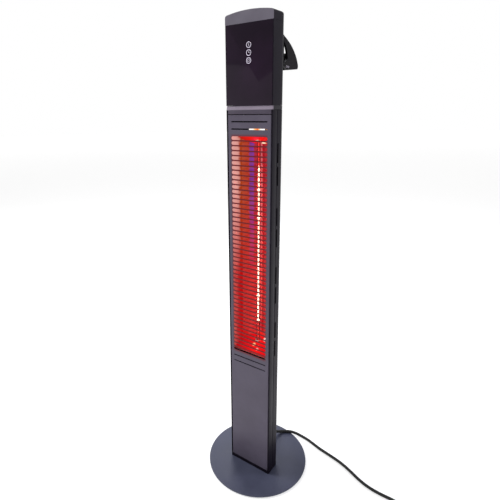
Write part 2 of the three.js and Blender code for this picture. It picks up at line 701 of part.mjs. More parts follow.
function carryHandle() {
  const outline = prismX(handleSide(), -HANDLE_HALF, HANDLE_HALF, 7);
  const saddleTop = columnBlock(-HANDLE_SADDLE - SEAM, HANDLE_LOW + 8, HANDLE_TOP - 2);
  const saddle = saddleTop.intersect(box(-HANDLE_HALF, HANDLE_HALF, BACK - 12, BACK + 20, 0, FAR));
  const cheekInner = HANDLE_HALF - HANDLE_CHEEK;
  const gripFront = shapeOf([
    [BACK - 30, HANDLE_LOW - 1],
    [BACK + 61 - GRIP_REACH, HANDLE_LOW - 1],
    [BACK + 65 - GRIP_REACH, HANDLE_LOW + 12],
    [BACK + 54 - GRIP_REACH, HANDLE_LOW + GRIP_TOP],
    [BACK + 66, HANDLE_LOW + GRIP_TOP],
    [BACK + 66, HANDLE_TOP + 1],
    [BACK - 30, HANDLE_TOP + 1],
  ]);
  const between = prismX(gripFront, -cheekInner, cheekInner);
  const wings = outline.subtract(between).subtract(prismX(handleWindow(), -FAR, FAR, 4));
  let handle = wings.add(saddle).subtract(columnBlock(-SEAM, 0, FAR));
  for (const [x, z] of HANDLE_SCREW_SPOTS) {
    handle = handle.subtract(rodY(x, z, 0, BACK + HANDLE_SADDLE - 0.8, SCREW_RADIUS + SEAM));
  }
  return handle;
}

const head = section("head");
add(head, "head_housing", headHousing(), "black_coat");
add(head, "glass_panel", glassPanel(), "dark_glass");
add(head, "top_cap", topCap(), "cap_coat");
add(head, "carry_handle", carryHandle(), "black_plastic");

// the handle is screwed on from inside the head
const handleScrew = [
  [0, -SCREW_HEAD_HEIGHT - SEAM],
  [SCREW_HEAD_RADIUS, -SCREW_HEAD_HEIGHT - SEAM],
  [SCREW_HEAD_RADIUS, -SEAM],
  [SCREW_RADIUS, -SEAM],
  [SCREW_RADIUS, HEAD_WALL + HANDLE_SADDLE - 0.9],
  [0, HEAD_WALL + HANDLE_SADDLE - 0.9],
];
HANDLE_SCREW_SPOTS.forEach(([x, z], i) => {
  const screw = turned(handleScrew, 16).rotateX(-Math.PI / 2);
  add(head, `handle_screw_${i + 1}`, screw, "plain_steel", [x, BACK - HEAD_WALL, z]);
});

// ---- heating zone ----------------------------------------------------------------------------

// half of the trough's section, from its mouth to the middle of its back
const TROUGH_HALF = [
  [TROUGH_MOUTH, TROUGH_FRONT],
  [TROUGH_MOUTH - 4, TROUGH_FRONT + 16],
  [TROUGH_MOUTH - 11, TROUGH_FRONT + 31],
  [TROUGH_MOUTH - 22, TROUGH_BACK - 7],
  [TROUGH_MOUTH - 37, TROUGH_BACK],
  [0, TROUGH_BACK],
];

function reflector() {
  return prismZ(bentSheet(mirrored(TROUGH_HALF), REFLECTOR_SHEET), TROUGH_BOTTOM, TROUGH_TOP);
}

// a raked plate that closes the trough; up is 1 at the top and -1 at the bottom
function endPlate(up) {
  const mouthZ = up > 0 ? TROUGH_TOP : TROUGH_BOTTOM;
  const backZ = mouthZ - up * END_PLATE_RAKE;
  const side = bentSheet([
    [TROUGH_FRONT + 1, mouthZ - up * 1.2],
    [TROUGH_FRONT + 5, mouthZ - up * 1.2],
    [TROUGH_BACK - 1, backZ],
  ], REFLECTOR_SHEET);
  const clearance = REFLECTOR_SHEET / 2 + SEAM;
  const cutter = shapeOf(mirrored(TROUGH_HALF).map(([x, y]) => {
    const towards = Math.sign(x) * clearance * 1.3;
    return [x - towards, y - clearance];
  }));
  const plate = prismX(side, -HALF, HALF).intersect(prismZ(cutter, TROUGH_BOTTOM - 1, TROUGH_TOP + 1));
  return plate.subtract(rod(0, LAMP_Y, TROUGH_BOTTOM - 1, TROUGH_TOP + 1, HOLDER_RADIUS + SEAM));
}

function wireHoles(plate, z) {
  const holes = [[-WIRE_X, WIRE_Y], [WIRE_X, WIRE_Y]];
  return drilled(plate, holes, 4.5, z - 1, z + BRACKET_SHEET + 1);
}

function heatBracket(z, upwards) {
  let plate = crossPlate(0, BRACKET_FLANGE);
  if (!upwards) plate = plate.scale([1, 1, -1]).translate([0, 0, BRACKET_SHEET]);
  plate = plate.translate([0, 0, z]);
  const holder = rod(0, LAMP_Y, z - 1, z + BRACKET_SHEET + 1, HOLDER_RADIUS + SEAM);
  return wireHoles(plate.subtract(holder), z);
}

const HOLDER_TOP_FACE = BRACKET_TOP + BRACKET_SHEET + 3 - HOLDER_LENGTH;
const HOLDER_BOTTOM_FACE = BRACKET_BOTTOM - 3 + HOLDER_LENGTH;

// a ceramic holder, its socket facing down, with the mouth at height 0
const holder = [
  [0, HOLDER_DEPTH + SEAM],
  [LAMP_RADIUS + SEAM, HOLDER_DEPTH + SEAM],
  [LAMP_RADIUS + SEAM, 0],
  [HOLDER_RADIUS, 0],
  [HOLDER_RADIUS, HOLDER_LENGTH],
  [0, HOLDER_LENGTH],
];

const lampBottom = HOLDER_BOTTOM_FACE - HOLDER_DEPTH;
const lampTop = HOLDER_TOP_FACE + HOLDER_DEPTH;
const lampTube = [
  [LAMP_BORE, lampBottom],
  [LAMP_RADIUS, lampBottom],
  [LAMP_RADIUS, lampTop],
  [LAMP_BORE, lampTop],
  [LAMP_BORE, lampBottom],
];

const heating = section("heating");
add(heating, "reflector", reflector(), "mirror_aluminium");
add(heating, "reflector_end_top", endPlate(1), "mirror_aluminium");
add(heating, "reflector_end_bottom", endPlate(-1), "mirror_aluminium");
add(heating, "bracket_top", heatBracket(BRACKET_TOP, true), "plain_steel");
add(heating, "bracket_bottom", heatBracket(BRACKET_BOTTOM, false), "plain_steel");
add(heating, "lamp_tube", turned(lampTube, 24), "ruby_quartz", [0, LAMP_Y, 0]);
add(heating, "lamp_filament", rod(0, 0, lampBottom, lampTop, FILAMENT_RADIUS, 12), "tungsten", [0, LAMP_Y, 0]);
add(heating, "lamp_holder_top", turned(holder, 24), "ceramic", [0, LAMP_Y, HOLDER_TOP_FACE]);
const holderBottom = turned(holder, 24).rotateX(Math.PI);
add(heating, "lamp_holder_bottom", holderBottom, "ceramic", [0, LAMP_Y, HOLDER_BOTTOM_FACE]);

const shieldY = TROUGH_BACK + REFLECTOR_SHEET / 2 + 1.2;
add(heating, "heat_shield", box(
  -SHIELD_HALF, SHIELD_HALF, shieldY, shieldY + SHIELD_SHEET, TROUGH_BOTTOM, TROUGH_TOP,
), "plain_steel");

const cutout = [[0, 0], [11, 0], [11, 1.2], [8, 1.2], [8, 7], [0, 7]];
const cutoutSpot = [-30, LAMP_Y - 12, BRACKET_TOP + BRACKET_SHEET + SEAM];
add(heating, "thermal_cutout", turned(cutout, 20), "black_plastic", cutoutSpot);

// ---- controls in the head --------------------------------------------------------------------

const GLASS_BACK = FRONT + GLASS_THICKNESS;
const TOUCH_BOARD_Y = GLASS_BACK + 3;
const TOUCH_BOARD_TOP = HEAD_TOP - 20;
const CARRIER_Y = BACK - COLUMN_CORNER - 1;
const CARRIER_TOP = HEAD_TOP - 12;
const POWER_BOARD_Y = CARRIER_Y - CARRIER_SHEET / 2 - 3;
const POWER_BOARD_TOP = CARRIER_TOP - BOARD_MARGIN;
const CARRIER_BOTTOM = POWER_BOARD_TOP - POWER_BOARD_HEIGHT - BOARD_MARGIN;

const powerLow = POWER_BOARD_TOP - POWER_BOARD_HEIGHT;
const partY = POWER_BOARD_Y - BOARD - SEAM;

// a part soldered to the front of the power board
function boardPart({ width, depth, height, left, up }) {
  const low = powerLow + up;
  return box(left, left + width, partY - depth, partY, low, low + height);
}

function touchBoard() {
  const half = TOUCH_BOARD_WIDTH / 2;
  const low = TOUCH_BOARD_TOP - TOUCH_BOARD_HEIGHT;
  let board = box(-half, half, TOUCH_BOARD_Y, TOUCH_BOARD_Y + BOARD, low, TOUCH_BOARD_TOP);
  for (let i = 0; i < 3; i += 1) {
    const z = HEAD_TOP - TOUCH_FROM_TOP - i * TOUCH_PITCH;
    board = board.add(rodY(0, z, GLASS_BACK + SEAM, TOUCH_BOARD_Y + 1, TOUCH_PAD_RADIUS));
  }
  return board;
}

function boardCarrier() {
  const reach = HALF - HEAD_WALL - SEAM - CARRIER_SHEET / 2;
  const plan = bentSheet([
    [-reach, CARRIER_Y - CARRIER_RETURN],
    [-reach, CARRIER_Y],
    [reach, CARRIER_Y],
    [reach, CARRIER_Y - CARRIER_RETURN],
  ], CARRIER_SHEET);
  const half = POWER_BOARD_WIDTH / 2 - BOARD_POST;
  let carrier = prismZ(plan, CARRIER_BOTTOM, CARRIER_TOP);
  for (const x of [-half, half]) {
    for (const z of [POWER_BOARD_TOP - BOARD_POST, powerLow + BOARD_POST]) {
      carrier = carrier.add(rodY(x, z, POWER_BOARD_Y + SEAM, CARRIER_Y, BOARD_POST_RADIUS, 12));
    }
  }
  return carrier;
}

const controls = section("controls");
add(controls, "touch_board", touchBoard(), "board_green");
add(controls, "board_carrier", boardCarrier(), "plain_steel");
const powerHalf = POWER_BOARD_WIDTH / 2;
add(controls, "power_board", box(
  -powerHalf, powerHalf, POWER_BOARD_Y - BOARD, POWER_BOARD_Y, powerLow, POWER_BOARD_TOP,
), "board_green");
add(controls, "relay", boardPart(RELAY), "part_blue");
add(controls, "power_module", boardPart(MODULE), "black_plastic");

// ---- base compartment ------------------------------------------------------------------------

const SERVICE_SHEET = 1.2;
// what is left of the depth once the tilt switch is in front of the plate and the rocker behind it
const SERVICE_ROOM = COLUMN_DEPTH - SHEET - TILT_DEPTH - SEAM - SERVICE_SHEET - SWITCH_DEPTH;
const TILT_FRONT = FRONT + SHEET + SERVICE_ROOM / 2 + SERVICE_SETBACK;
const SERVICE_Y = TILT_FRONT + TILT_DEPTH + SEAM + SERVICE_SHEET / 2;
const SERVICE_HALF = HALF - 14;
const SERVICE_BOTTOM = FOOT_PLATE_TOP + SEAM;
const SERVICE_TOP = SERVICE_BOTTOM + 150;
const TILT_Z = SERVICE_BOTTOM + 70; // middle of the tilt switch
const TILT_X = -24;
const PIVOT_Z = TILT_Z + TILT_HEIGHT / 2 - 8;
const TILT_BACK = SERVICE_Y - SERVICE_SHEET / 2 - SEAM;

function tiltCase() {
  const half = TILT_WIDTH / 2;
  const low = TILT_Z - TILT_HEIGHT / 2;
  const high = TILT_Z + TILT_HEIGHT / 2;
  const body = box(TILT_X - half, TILT_X + half, TILT_FRONT, TILT_BACK, low, high);
  const hollow = box(
    TILT_X - half + TILT_WALL, TILT_X + half - TILT_WALL,
    TILT_FRONT - 1, TILT_BACK - TILT_WALL, low + TILT_WALL, high - TILT_WALL,
  );
  return body.subtract(hollow).add(rodY(TILT_X, PIVOT_Z, TILT_FRONT + 4, TILT_BACK - 1, PIN_RADIUS, 16));
}

function pendulum() {
  const y0 = TILT_BACK - TILT_WALL - 13;
  const y1 = TILT_BACK - TILT_WALL - 3;
  const bobZ = PIVOT_Z - PENDULUM_LENGTH;
  const eye = rodY(TILT_X, PIVOT_Z, y0, y1, PENDULUM_EYE, 20);
  const stem = box(TILT_X - 1.5, TILT_X + 1.5, y0, y1, bobZ, PIVOT_Z - PIN_RADIUS - 1);
  const bob = rodY(TILT_X, bobZ, y0, y1, PENDULUM_BOB, 20);
  return eye.add(stem).add(bob).subtract(rodY(TILT_X, PIVOT_Z, y0 - 1, y1 + 1, PIN_RADIUS + SEAM, 20));
}

const SWITCH_LIP = 2;
const WELL_HALF_X = 6.8;
const WELL_HALF_Z = 11.8;
const ROCKER_HALF_X = 6.4;
const ROCKER_Y = BACK - 3;

function switchBody() {
  const lipX = SWITCH_BODY_X + SWITCH_RIM;
  const lipZ = SWITCH_BODY_Z + SWITCH_RIM;
  const lip = box(-lipX, lipX, BACK + SEAM, BACK + SEAM + SWITCH_LIP, SWITCH_Z - lipZ, SWITCH_Z + lipZ);
  const body = box(
    -SWITCH_BODY_X, SWITCH_BODY_X, BACK - SWITCH_DEPTH, BACK + 1,
    SWITCH_Z - SWITCH_BODY_Z, SWITCH_Z + SWITCH_BODY_Z,
  );
  const well = box(
    -WELL_HALF_X, WELL_HALF_X, ROCKER_Y - 8, BACK + 5, SWITCH_Z - WELL_HALF_Z, SWITCH_Z + WELL_HALF_Z,
  );
  return lip.add(body).subtract(well);
}

// the rocker about its pivot, leaning so that its upper half is pressed in
function switchRocker() {
  const rocker = shapeOf([
    [-3.5, -6],
    [0, -9],
    [6.2, -10.4],
    [5, 0],
    [6.2, 10.4],
    [0, 9],
    [-3.5, 6],
  ]);
  const lean = new THREE.Matrix4().makeRotationX(THREE.MathUtils.degToRad(SWITCH_TILT));
  const solid = prismX(rocker, -ROCKER_HALF_X, ROCKER_HALF_X);
  return toGeometry(solid).applyMatrix4(lean);
}

const TERMINAL_BOTTOM = GLAND_Z + GLAND_RADIUS + 2;

function terminalBlock() {
  const z0 = TERMINAL_BOTTOM;
  const y0 = SERVICE_Y + SERVICE_SHEET / 2 + SEAM;
  const y1 = y0 + TERMINAL_DEPTH;
  let block = box(-TERMINAL_HALF, TERMINAL_HALF, y0, y1, z0, z0 + TERMINAL_HEIGHT);
  for (const x of [-TERMINAL_PITCH, 0, TERMINAL_PITCH]) {
    block = block.subtract(rodY(x, z0 + TERMINAL_HEIGHT / 2, y0 + 5, y1 + 2, 2.6, 10));
  }
  return block;
}

// an upright plate that carries the tilt switch and the terminals, cut clear of the weld nuts
function servicePlate() {
  const plate = box(
    -SERVICE_HALF, SERVICE_HALF, SERVICE_Y - SERVICE_SHEET / 2, SERVICE_Y + SERVICE_SHEET / 2,
    SERVICE_BOTTOM, SERVICE_TOP,
  );
  const top = FOOT_PLATE_TOP + WELD_NUT_HEIGHT + SEAM;
  return drilled(plate, BOLT_SPOTS, WELD_NUT_RADIUS + SEAM, 0, top);
}

const service = section("service");
add(service, "service_plate", servicePlate(), "plain_steel");
add(service, "tilt_switch_case", tiltCase(), "black_plastic");
add(service, "tilt_pendulum", pendulum(), "brass");
add(service, "terminal_block", terminalBlock(), "ceramic");
add(service, "switch_body", switchBody(), "black_plastic");
add(service, "switch_rocker", switchRocker(), "black_plastic", [0, ROCKER_Y, SWITCH_Z]);

// ---- wiring and cord -------------------------------------------------------------------------

function ring(radius, sides) {
  const shape = new THREE.Shape();
  for (let i = 0; i < sides; i += 1) {
    const angle = (i * 2 * Math.PI) / sides;
    const point = [radius * Math.cos(angle), radius * Math.sin(angle)];
    if (i === 0) shape.moveTo(...point);
    else shape.lineTo(...point);
  }
  shape.closePath();
  return shape;
}

function tubeAlong(points, radius, sides, steps) {
  const curve = new THREE.CatmullRomCurve3(points.map((p) => new THREE.Vector3(...p)), false, "centripetal");
  return new THREE.ExtrudeGeometry(ring(radius, sides), { steps, extrudePath: curve, bevelEnabled: false });
}

const boardFoot = powerLow - SEAM;
const wires = section("wires");
add(wires, "wire_supply", tubeAlong([
  [12, SERVICE_Y + 6, TERMINAL_BOTTOM + TERMINAL_HEIGHT + SEAM],
  [12, SERVICE_Y + 6, TERMINAL_BOTTOM + TERMINAL_HEIGHT + 16],
  [30, SERVICE_Y + 6, TERMINAL_BOTTOM + TERMINAL_HEIGHT + 50],
  [WIRE_X, WIRE_Y, SERVICE_TOP - 10],
  [WIRE_X, WIRE_Y, BRACKET_BOTTOM],
  [WIRE_X, WIRE_Y, BRACKET_TOP],
  [WIRE_X - 6, -3, BODY_TOP - 10],
  [20, POWER_BOARD_Y - BOARD / 2, boardFoot - 16],
  [20, POWER_BOARD_Y - BOARD / 2, boardFoot],
], WIRE_RADIUS, 6, 32), "black_plastic");
add(wires, "wire_lamp_bottom", tubeAlong([
  [0, LAMP_Y, BRACKET_BOTTOM - 3 - SEAM],
  [0, LAMP_Y, BRACKET_BOTTOM - 16],
  [-20, LAMP_Y, BRACKET_BOTTOM - 34],
  [-WIRE_X + 4, WIRE_Y, BRACKET_BOTTOM - 26],
  [-WIRE_X, WIRE_Y, BRACKET_BOTTOM],
  [-WIRE_X, WIRE_Y, BRACKET_TOP],
  [-WIRE_X + 6, -3, BODY_TOP - 10],
  [-20, POWER_BOARD_Y - BOARD / 2, boardFoot - 16],
  [-20, POWER_BOARD_Y - BOARD / 2, boardFoot],
], WIRE_RADIUS, 6, 32), "black_plastic");
add(wires, "wire_lamp_top", tubeAlong([
  [0, LAMP_Y, BRACKET_TOP + BRACKET_SHEET + 3 + SEAM],
  [0, LAMP_Y, BODY_TOP - 14],
  [0, POWER_BOARD_Y - BOARD / 2, boardFoot - 16],
  [0, POWER_BOARD_Y - BOARD / 2, boardFoot],
], WIRE_RADIUS, 6, 12), "black_plastic");

const RELIEF_START = BACK + SEAM + GLAND_LENGTH + SEAM;
const RELIEF_END = RELIEF_START + RELIEF_LENGTH;

function glandBody() {
  const nut = [[0, -SEAM - GLAND_LENGTH], [8.5, -SEAM - GLAND_LENGTH], [GLAND_RADIUS, -SEAM - 5]];
  const stem = [[GLAND_RADIUS, -SEAM], [GLAND_THREAD, -SEAM], [GLAND_THREAD, 14], [0, 14]];
  return turned([...nut, ...stem], 24).rotateX(Math.PI / 2);
}

function strainRelief() {
  const profile = [[0, -RELIEF_END], [CORD_RADIUS + 0.9, -RELIEF_END]];
  const ribs = 4;
  for (let i = 0; i < ribs; i += 1) {
    const share = (i + 1) / ribs;
    const radius = CORD_RADIUS + 1.2 + 2.4 * share;
    const middle = -RELIEF_END + (share - 0.3 / ribs) * RELIEF_LENGTH;
    profile.push([radius, middle - 1.6], [radius, middle]);
    if (i < ribs - 1) profile.push([radius - 0.8, middle + 0.8]);
  }
  profile.push([CORD_RADIUS + 3.6, -RELIEF_START], [0, -RELIEF_START]);
  return turned(profile, 20).rotateX(Math.PI / 2);
}

const FLOOR_CORD = CORD_RADIUS + FLOOR_GAP;
const DISC_CORD = BASE_TOP + CORD_RADIUS + SEAM;
// the cord's middle line, from the strain relief to the coil
const cordRoute = [
  [0, RELIEF_END + SEAM, GLAND_Z],
  [0, 62, 41.7],
  [0.3, 73, 38.8],
  [1.2, 84, 33],
  [3, 94.5, 26],
  [6, 104.5, 19.5],
  [10.5, 114, 14.6],
  [17.5, 123, 12],
  [28, 131.5, DISC_CORD],
  [42, 138.5, DISC_CORD - 0.2],
  [57.5, 143.6, 9],
  [73, 146, 5.8],
  [88, 145.7, 4.5],
  [104, 143, FLOOR_CORD],
  [123, 137.8, FLOOR_CORD],
  [143, 132, FLOOR_CORD],
  [165, 127.7, FLOOR_CORD],
  [188, 123.5, FLOOR_CORD],
  [212, 118.2, FLOOR_CORD],
  [234, 111, FLOOR_CORD],
  [256, 101.7, FLOOR_CORD],
  [277, 92, FLOOR_CORD],
  [299, 84, FLOOR_CORD],
  [322, 79.2, FLOOR_CORD],
  [347, 77.6, FLOOR_CORD],
  [372, 78, FLOOR_CORD],
  [396, 76.3, FLOOR_CORD],
  [420, 70.3, FLOOR_CORD],
  [440, 62, FLOOR_CORD],
  [455.5, 53.6, FLOOR_CORD],
];

const coilSection = [
  [COIL_INNER, FLOOR_GAP],
  [COIL_OUTER, FLOOR_GAP],
  [COIL_OUTER, COIL_HEIGHT],
  [COIL_INNER, COIL_HEIGHT],
  [COIL_INNER, FLOOR_GAP],
];

// the plug, its pins towards +X, the rear of its neck at 0
function plug() {
  const front = PLUG_NECK + PLUG_BODY;
  const profile = [
    [0, 0],
    [PLUG_NECK_RADIUS, 0],
    [PLUG_SHOULDER, PLUG_NECK],
    [PLUG_RADIUS - 2, PLUG_NECK + 8],
    [PLUG_RADIUS, PLUG_NECK + 14],
    [PLUG_RADIUS, front],
    [0, front],
  ];
  const pins = [-1, 1].map((side) => {
    return rod(0, side * PIN_HALF, front - 1, front + PIN_LENGTH, PLUG_PIN_RADIUS, 12);
  });
  const solid = pins.reduce((joined, pin) => joined.add(pin), toSolid(turned(profile, 20)));
  return toGeometry(solid).rotateY(Math.PI / 2);
}

// the plug lies where the coil's outermost turn runs out straight, just clear of the coil
const leaves = THREE.MathUtils.degToRad(COIL_LEAVES);
const clearOfCoil = Math.sqrt(COIL_OUTER ** 2 - (COIL_TURN - PLUG_NECK_RADIUS) ** 2) + SEAM;
const heading = leaves - Math.PI / 2;
const plugSpot = [
  COIL_CENTRE[0] + COIL_TURN * Math.cos(leaves) + clearOfCoil * Math.cos(heading),
  COIL_CENTRE[1] + COIL_TURN * Math.sin(leaves) + clearOfCoil * Math.sin(heading),
  PLUG_RADIUS + FLOOR_GAP,
];

const supply = section("supply");
add(supply, "gland_body", glandBody(), "black_plastic", [0, BACK, GLAND_Z]);
add(supply, "strain_relief", strainRelief(), "rubber", [0, 0, GLAND_Z]);
add(supply, "power_cord", tubeAlong(cordRoute, CORD_RADIUS, CORD_SIDES, CORD_STEPS), "rubber");
add(supply, "cord_coil", turned(coilSection, 28), "rubber", [...COIL_CENTRE, 0]);
add(supply, "plug", plug(), "rubber", plugSpot).rotation.z = heading;

export default heater;
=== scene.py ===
"""The looks of an outdoor radiant tower heater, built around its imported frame.

A slim column on a round steel plate carries a slotted front, a ruby quartz lamp in a polished
trough, and a head with a touch glass. Shapes are worked out in millimetres and put into meshes
in metres.
"""

from __future__ import annotations

import logging
import math
from dataclasses import dataclass
from enum import Enum
from typing import Callable, Sequence

import bpy
import numpy as np
from mathutils import Matrix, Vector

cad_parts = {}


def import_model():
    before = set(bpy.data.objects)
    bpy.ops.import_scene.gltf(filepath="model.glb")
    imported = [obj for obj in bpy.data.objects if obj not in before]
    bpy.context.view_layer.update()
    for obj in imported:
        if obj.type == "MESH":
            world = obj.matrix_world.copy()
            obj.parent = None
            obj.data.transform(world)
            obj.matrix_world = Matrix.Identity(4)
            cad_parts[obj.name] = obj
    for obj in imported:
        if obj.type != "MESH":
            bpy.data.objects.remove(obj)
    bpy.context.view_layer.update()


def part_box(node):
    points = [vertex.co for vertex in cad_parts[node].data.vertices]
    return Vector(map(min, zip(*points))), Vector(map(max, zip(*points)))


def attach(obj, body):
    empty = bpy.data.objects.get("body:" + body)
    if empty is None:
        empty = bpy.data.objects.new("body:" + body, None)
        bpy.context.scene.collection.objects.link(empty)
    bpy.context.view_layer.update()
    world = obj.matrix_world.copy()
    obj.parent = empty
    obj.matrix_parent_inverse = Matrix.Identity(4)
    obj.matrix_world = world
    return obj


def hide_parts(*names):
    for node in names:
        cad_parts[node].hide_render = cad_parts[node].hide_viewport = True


LOG = logging.getLogger("heater")
MM = 0.001  # one millimetre, in metres
BODY = "heater_body"
SHARP = 32.0  # edges that bend more than this stay sharp, in degrees
Array = np.ndarray
Pair = tuple[float, float]
Shape = tuple[np.ndarray, list[list[int]]]  # vertices and faces


class Side(Enum):
    """The left or the right of someone who looks at the front, as the sign of X."""

    LEFT = -1
    RIGHT = 1


class Cap(Enum):
    """How the end of a lofted shape is closed."""

    FLAT = "flat"
    POINT = "point"
    RING = "ring"


# ---- shapes ----------------------------------------------------------------------------------


def span(node: str) -> tuple[Array, Array]:
    """The box of a CAD node at rest.

    Args:
        node: The node's name.

    Returns:
        Its lowest and highest corners, in millimetres.
    """
    low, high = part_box(node)
    return np.array(low) / MM, np.array(high) / MM


def arc(start: float, end: float, steps: int) -> Array:
    """Angles from start to end.

    Args:
        start: First angle, in degrees.
        end: Last angle, in degrees.
        steps: How many equal steps lie between them.

    Returns:
        steps + 1 angles, in radians.
    """
    return np.radians(np.linspace(start, end, steps + 1))


def rounded(corners: Sequence[tuple[float, float, float]], steps: int, is_open: bool = False) -> Array:
    """An outline with its corners rounded.

    A corner of radius r becomes an arc that touches both of its sides: the arc's centre lies on the
    line that halves the corner, r / sin(half) away, and it touches the sides r / tan(half) away.

    Args:
        corners: x, y and radius of each corner, in order.
        steps: Steps in each arc.
        is_open: True for a line whose first and last points are ends and not corners.

    Returns:
        The points, as rows of x and y.
    """
    points = np.array([corner[:2] for corner in corners], float)
    pieces = []
    for i, corner in enumerate(corners):
        here = points[i]
        at_end = is_open and i in (0, len(corners) - 1)
        if corner[2] <= 0 or at_end:
            pieces.append(here[None])
            continue
        before = points[i - 1] - here
        after = points[(i + 1) % len(corners)] - here
        before /= np.linalg.norm(before)
        after /= np.linalg.norm(after)
        half = math.acos(float(np.clip(before @ after, -1, 1))) / 2
        middle = (before + after) / np.linalg.norm(before + after)
        centre = here + middle * corner[2] / math.sin(half)
        first = here + before * corner[2] / math.tan(half) - centre
        last = here + after * corner[2] / math.tan(half) - centre
        turn = math.atan2(first[0] * last[1] - first[1] * last[0], float(first @ last))
        angles = math.atan2(first[1], first[0]) + np.linspace(0, turn, steps + 1)
        pieces.append(centre + corner[2] * np.stack([np.cos(angles), np.sin(angles)], axis=1))
    return np.concatenate(pieces)


def loft(rings: Array, start: Cap = Cap.FLAT, end: Cap = Cap.FLAT) -> Shape:
    """A surface that joins rings of equal length.

    Args:
        rings: Points, as ring by point by x, y, z.
        start: How the first ring is closed.
        end: How the last ring is closed. Cap.RING at both ends joins the last ring to the first.

    Returns:
        The vertices and the faces.
    """
    count, around, _ = rings.shape
    vertices = rings.reshape(-1, 3)
    index = np.arange(count * around).reshape(count, around)
    following = np.roll(index, -1, axis=1)
    rows = np.concatenate([index, index[:1]]) if start is Cap.RING else index
    nexts = np.concatenate([following, following[:1]]) if start is Cap.RING else following
    quads = np.stack([rows[:-1], nexts[:-1], nexts[1:], rows[1:]], axis=-1).reshape(-1, 4)
    faces = quads.tolist()
    for cap, ring, flip in ((start, index[0], True), (end, index[-1], False)):
        if cap is Cap.FLAT:
            faces.append(ring[::-1].tolist() if flip else ring.tolist())
        elif cap is Cap.POINT:
            tip = len(vertices)
            vertices = np.concatenate([vertices, vertices[ring].mean(0)[None]])
            pairs = np.stack([ring, np.roll(ring, -1), np.full(around, tip)], axis=1)
            faces.extend((pairs[:, ::-1] if flip else pairs).tolist())
    return vertices, faces


def turned(profile: Sequence[tuple[float, float]], around: int = 64) -> Array:
    """Rings of a profile turned about the Z axis.

    Each point (r, z) becomes the ring (r cos a, r sin a, z), for a once round.

    Args:
        profile: Radius and height of each ring.
        around: Points in a ring.

    Returns:
        Points, as ring by point by x, y, z.
    """
    angles = np.linspace(0, 2 * math.pi, around, endpoint=False)
    radius, height = np.array(profile, float).T
    rings = radius[:, None, None] * np.stack([np.cos(angles), np.sin(angles)], axis=-1)[None]
    heights = np.broadcast_to(height[:, None, None], (len(radius), around, 1))
    return np.concatenate([rings, heights], axis=-1)


def eased(z0: float, z1: float, radius: float, ease: float, steps: int = 4) -> list[tuple[float, float]]:
    """The profile of a disc or rod with its two rims rounded.

    Args:
        z0: Its lowest point.
        z1: Its highest point.
        radius: Its outer radius.
        ease: Radius of the rounded rims.
        steps: Steps in each quarter circle.

    Returns:
        Radius and height of each ring, upwards.
    """
    low = [(radius - ease + ease * math.cos(a), z0 + ease + ease * math.sin(a)) for a in arc(-90, 0, steps)]
    high = [(radius - ease + ease * math.cos(a), z1 - ease + ease * math.sin(a)) for a in arc(0, 90, steps)]
    return low + high


def oblong(low: Sequence[float], high: Sequence[float], near: float, far: float, steps: int) -> Array:
    """An oblong outline with one rounding at its low side and one at its high side.

    Args:
        low: Its lowest first and second coordinate.
        high: Its highest first and second coordinate.
        near: Radius of the two corners at the low side.
        far: Radius of the two corners at the high side.
        steps: Points in each rounding.

    Returns:
        The outline.
    """
    (left, foot), (right, top) = low[:2], high[:2]
    return rounded([(left, foot, near), (right, foot, near), (right, top, far), (left, top, far)], steps)


def raised(outline: Array, levels: Sequence[tuple[float, float]], about: Array | None = None) -> Array:
    """Rings of an outline at several heights, each drawn in by an inset.

    A point is moved along its inward normal, which is its edge direction turned by a right angle.

    Args:
        outline: Points of x and y, anticlockwise.
        levels: Height and inset of each ring.
        about: Inward directions to use in place of the normals.

    Returns:
        Points, as ring by point by x, y, z.
    """
    along = np.roll(outline, -1, axis=0) - np.roll(outline, 1, axis=0)
    along /= np.linalg.norm(along, axis=1)[:, None]
    inward = np.stack([-along[:, 1], along[:, 0]], axis=1) if about is None else about
    rings = [
        np.column_stack([outline + inward * inset, np.full(len(outline), height)])
        for height, inset in levels
    ]
    return np.array(rings)


def lying(rings: Array, origin: Sequence[float], x_to: Sequence[float], z_to: Sequence[float]) -> Array:
    """Points turned and moved from their own axes to a place on the heater.

    Args:
        rings: Points whose last axis is x, y, z.
        origin: Where their origin goes.
        x_to: The direction that their X axis takes.
        z_to: The direction that their Z axis takes.

    Returns:
        The points in the heater's frame.
    """
    x_axis = np.array(x_to, float) / np.linalg.norm(x_to)
    z_axis = np.array(z_to, float) / np.linalg.norm(z_to)
    turn = np.stack([x_axis, np.cross(z_axis, x_axis), z_axis])
    return rings @ turn + np.array(origin, float)


def tube(path: Array, radius: Array | float, around: int = 16) -> Array:
    """Rings of a round section carried along a path.

    The section's two axes are carried from point to point without twist: each is made square to the
    next direction and brought back to length one.

    Args:
        path: Points of x, y, z.
        radius: One radius, or one for each point.
        around: Points in a ring.

    Returns:
        Points, as ring by point by x, y, z.
    """
    ahead = np.gradient(path, axis=0)
    ahead /= np.linalg.norm(ahead, axis=1)[:, None]
    across = np.zeros_like(path)
    least = np.eye(3)[np.argmin(np.abs(ahead[0]))]
    carried = np.cross(ahead[0], least)
    for i, direction in enumerate(ahead):
        carried = carried - direction * (carried @ direction)
        carried /= np.linalg.norm(carried)
        across[i] = carried
    up = np.cross(ahead, across)
    angles = np.linspace(0, 2 * math.pi, around, endpoint=False)
    ring = np.cos(angles)[None, :, None] * across[:, None] + np.sin(angles)[None, :, None] * up[:, None]
    return path[:, None] + ring * np.broadcast_to(radius, len(path))[:, None, None]


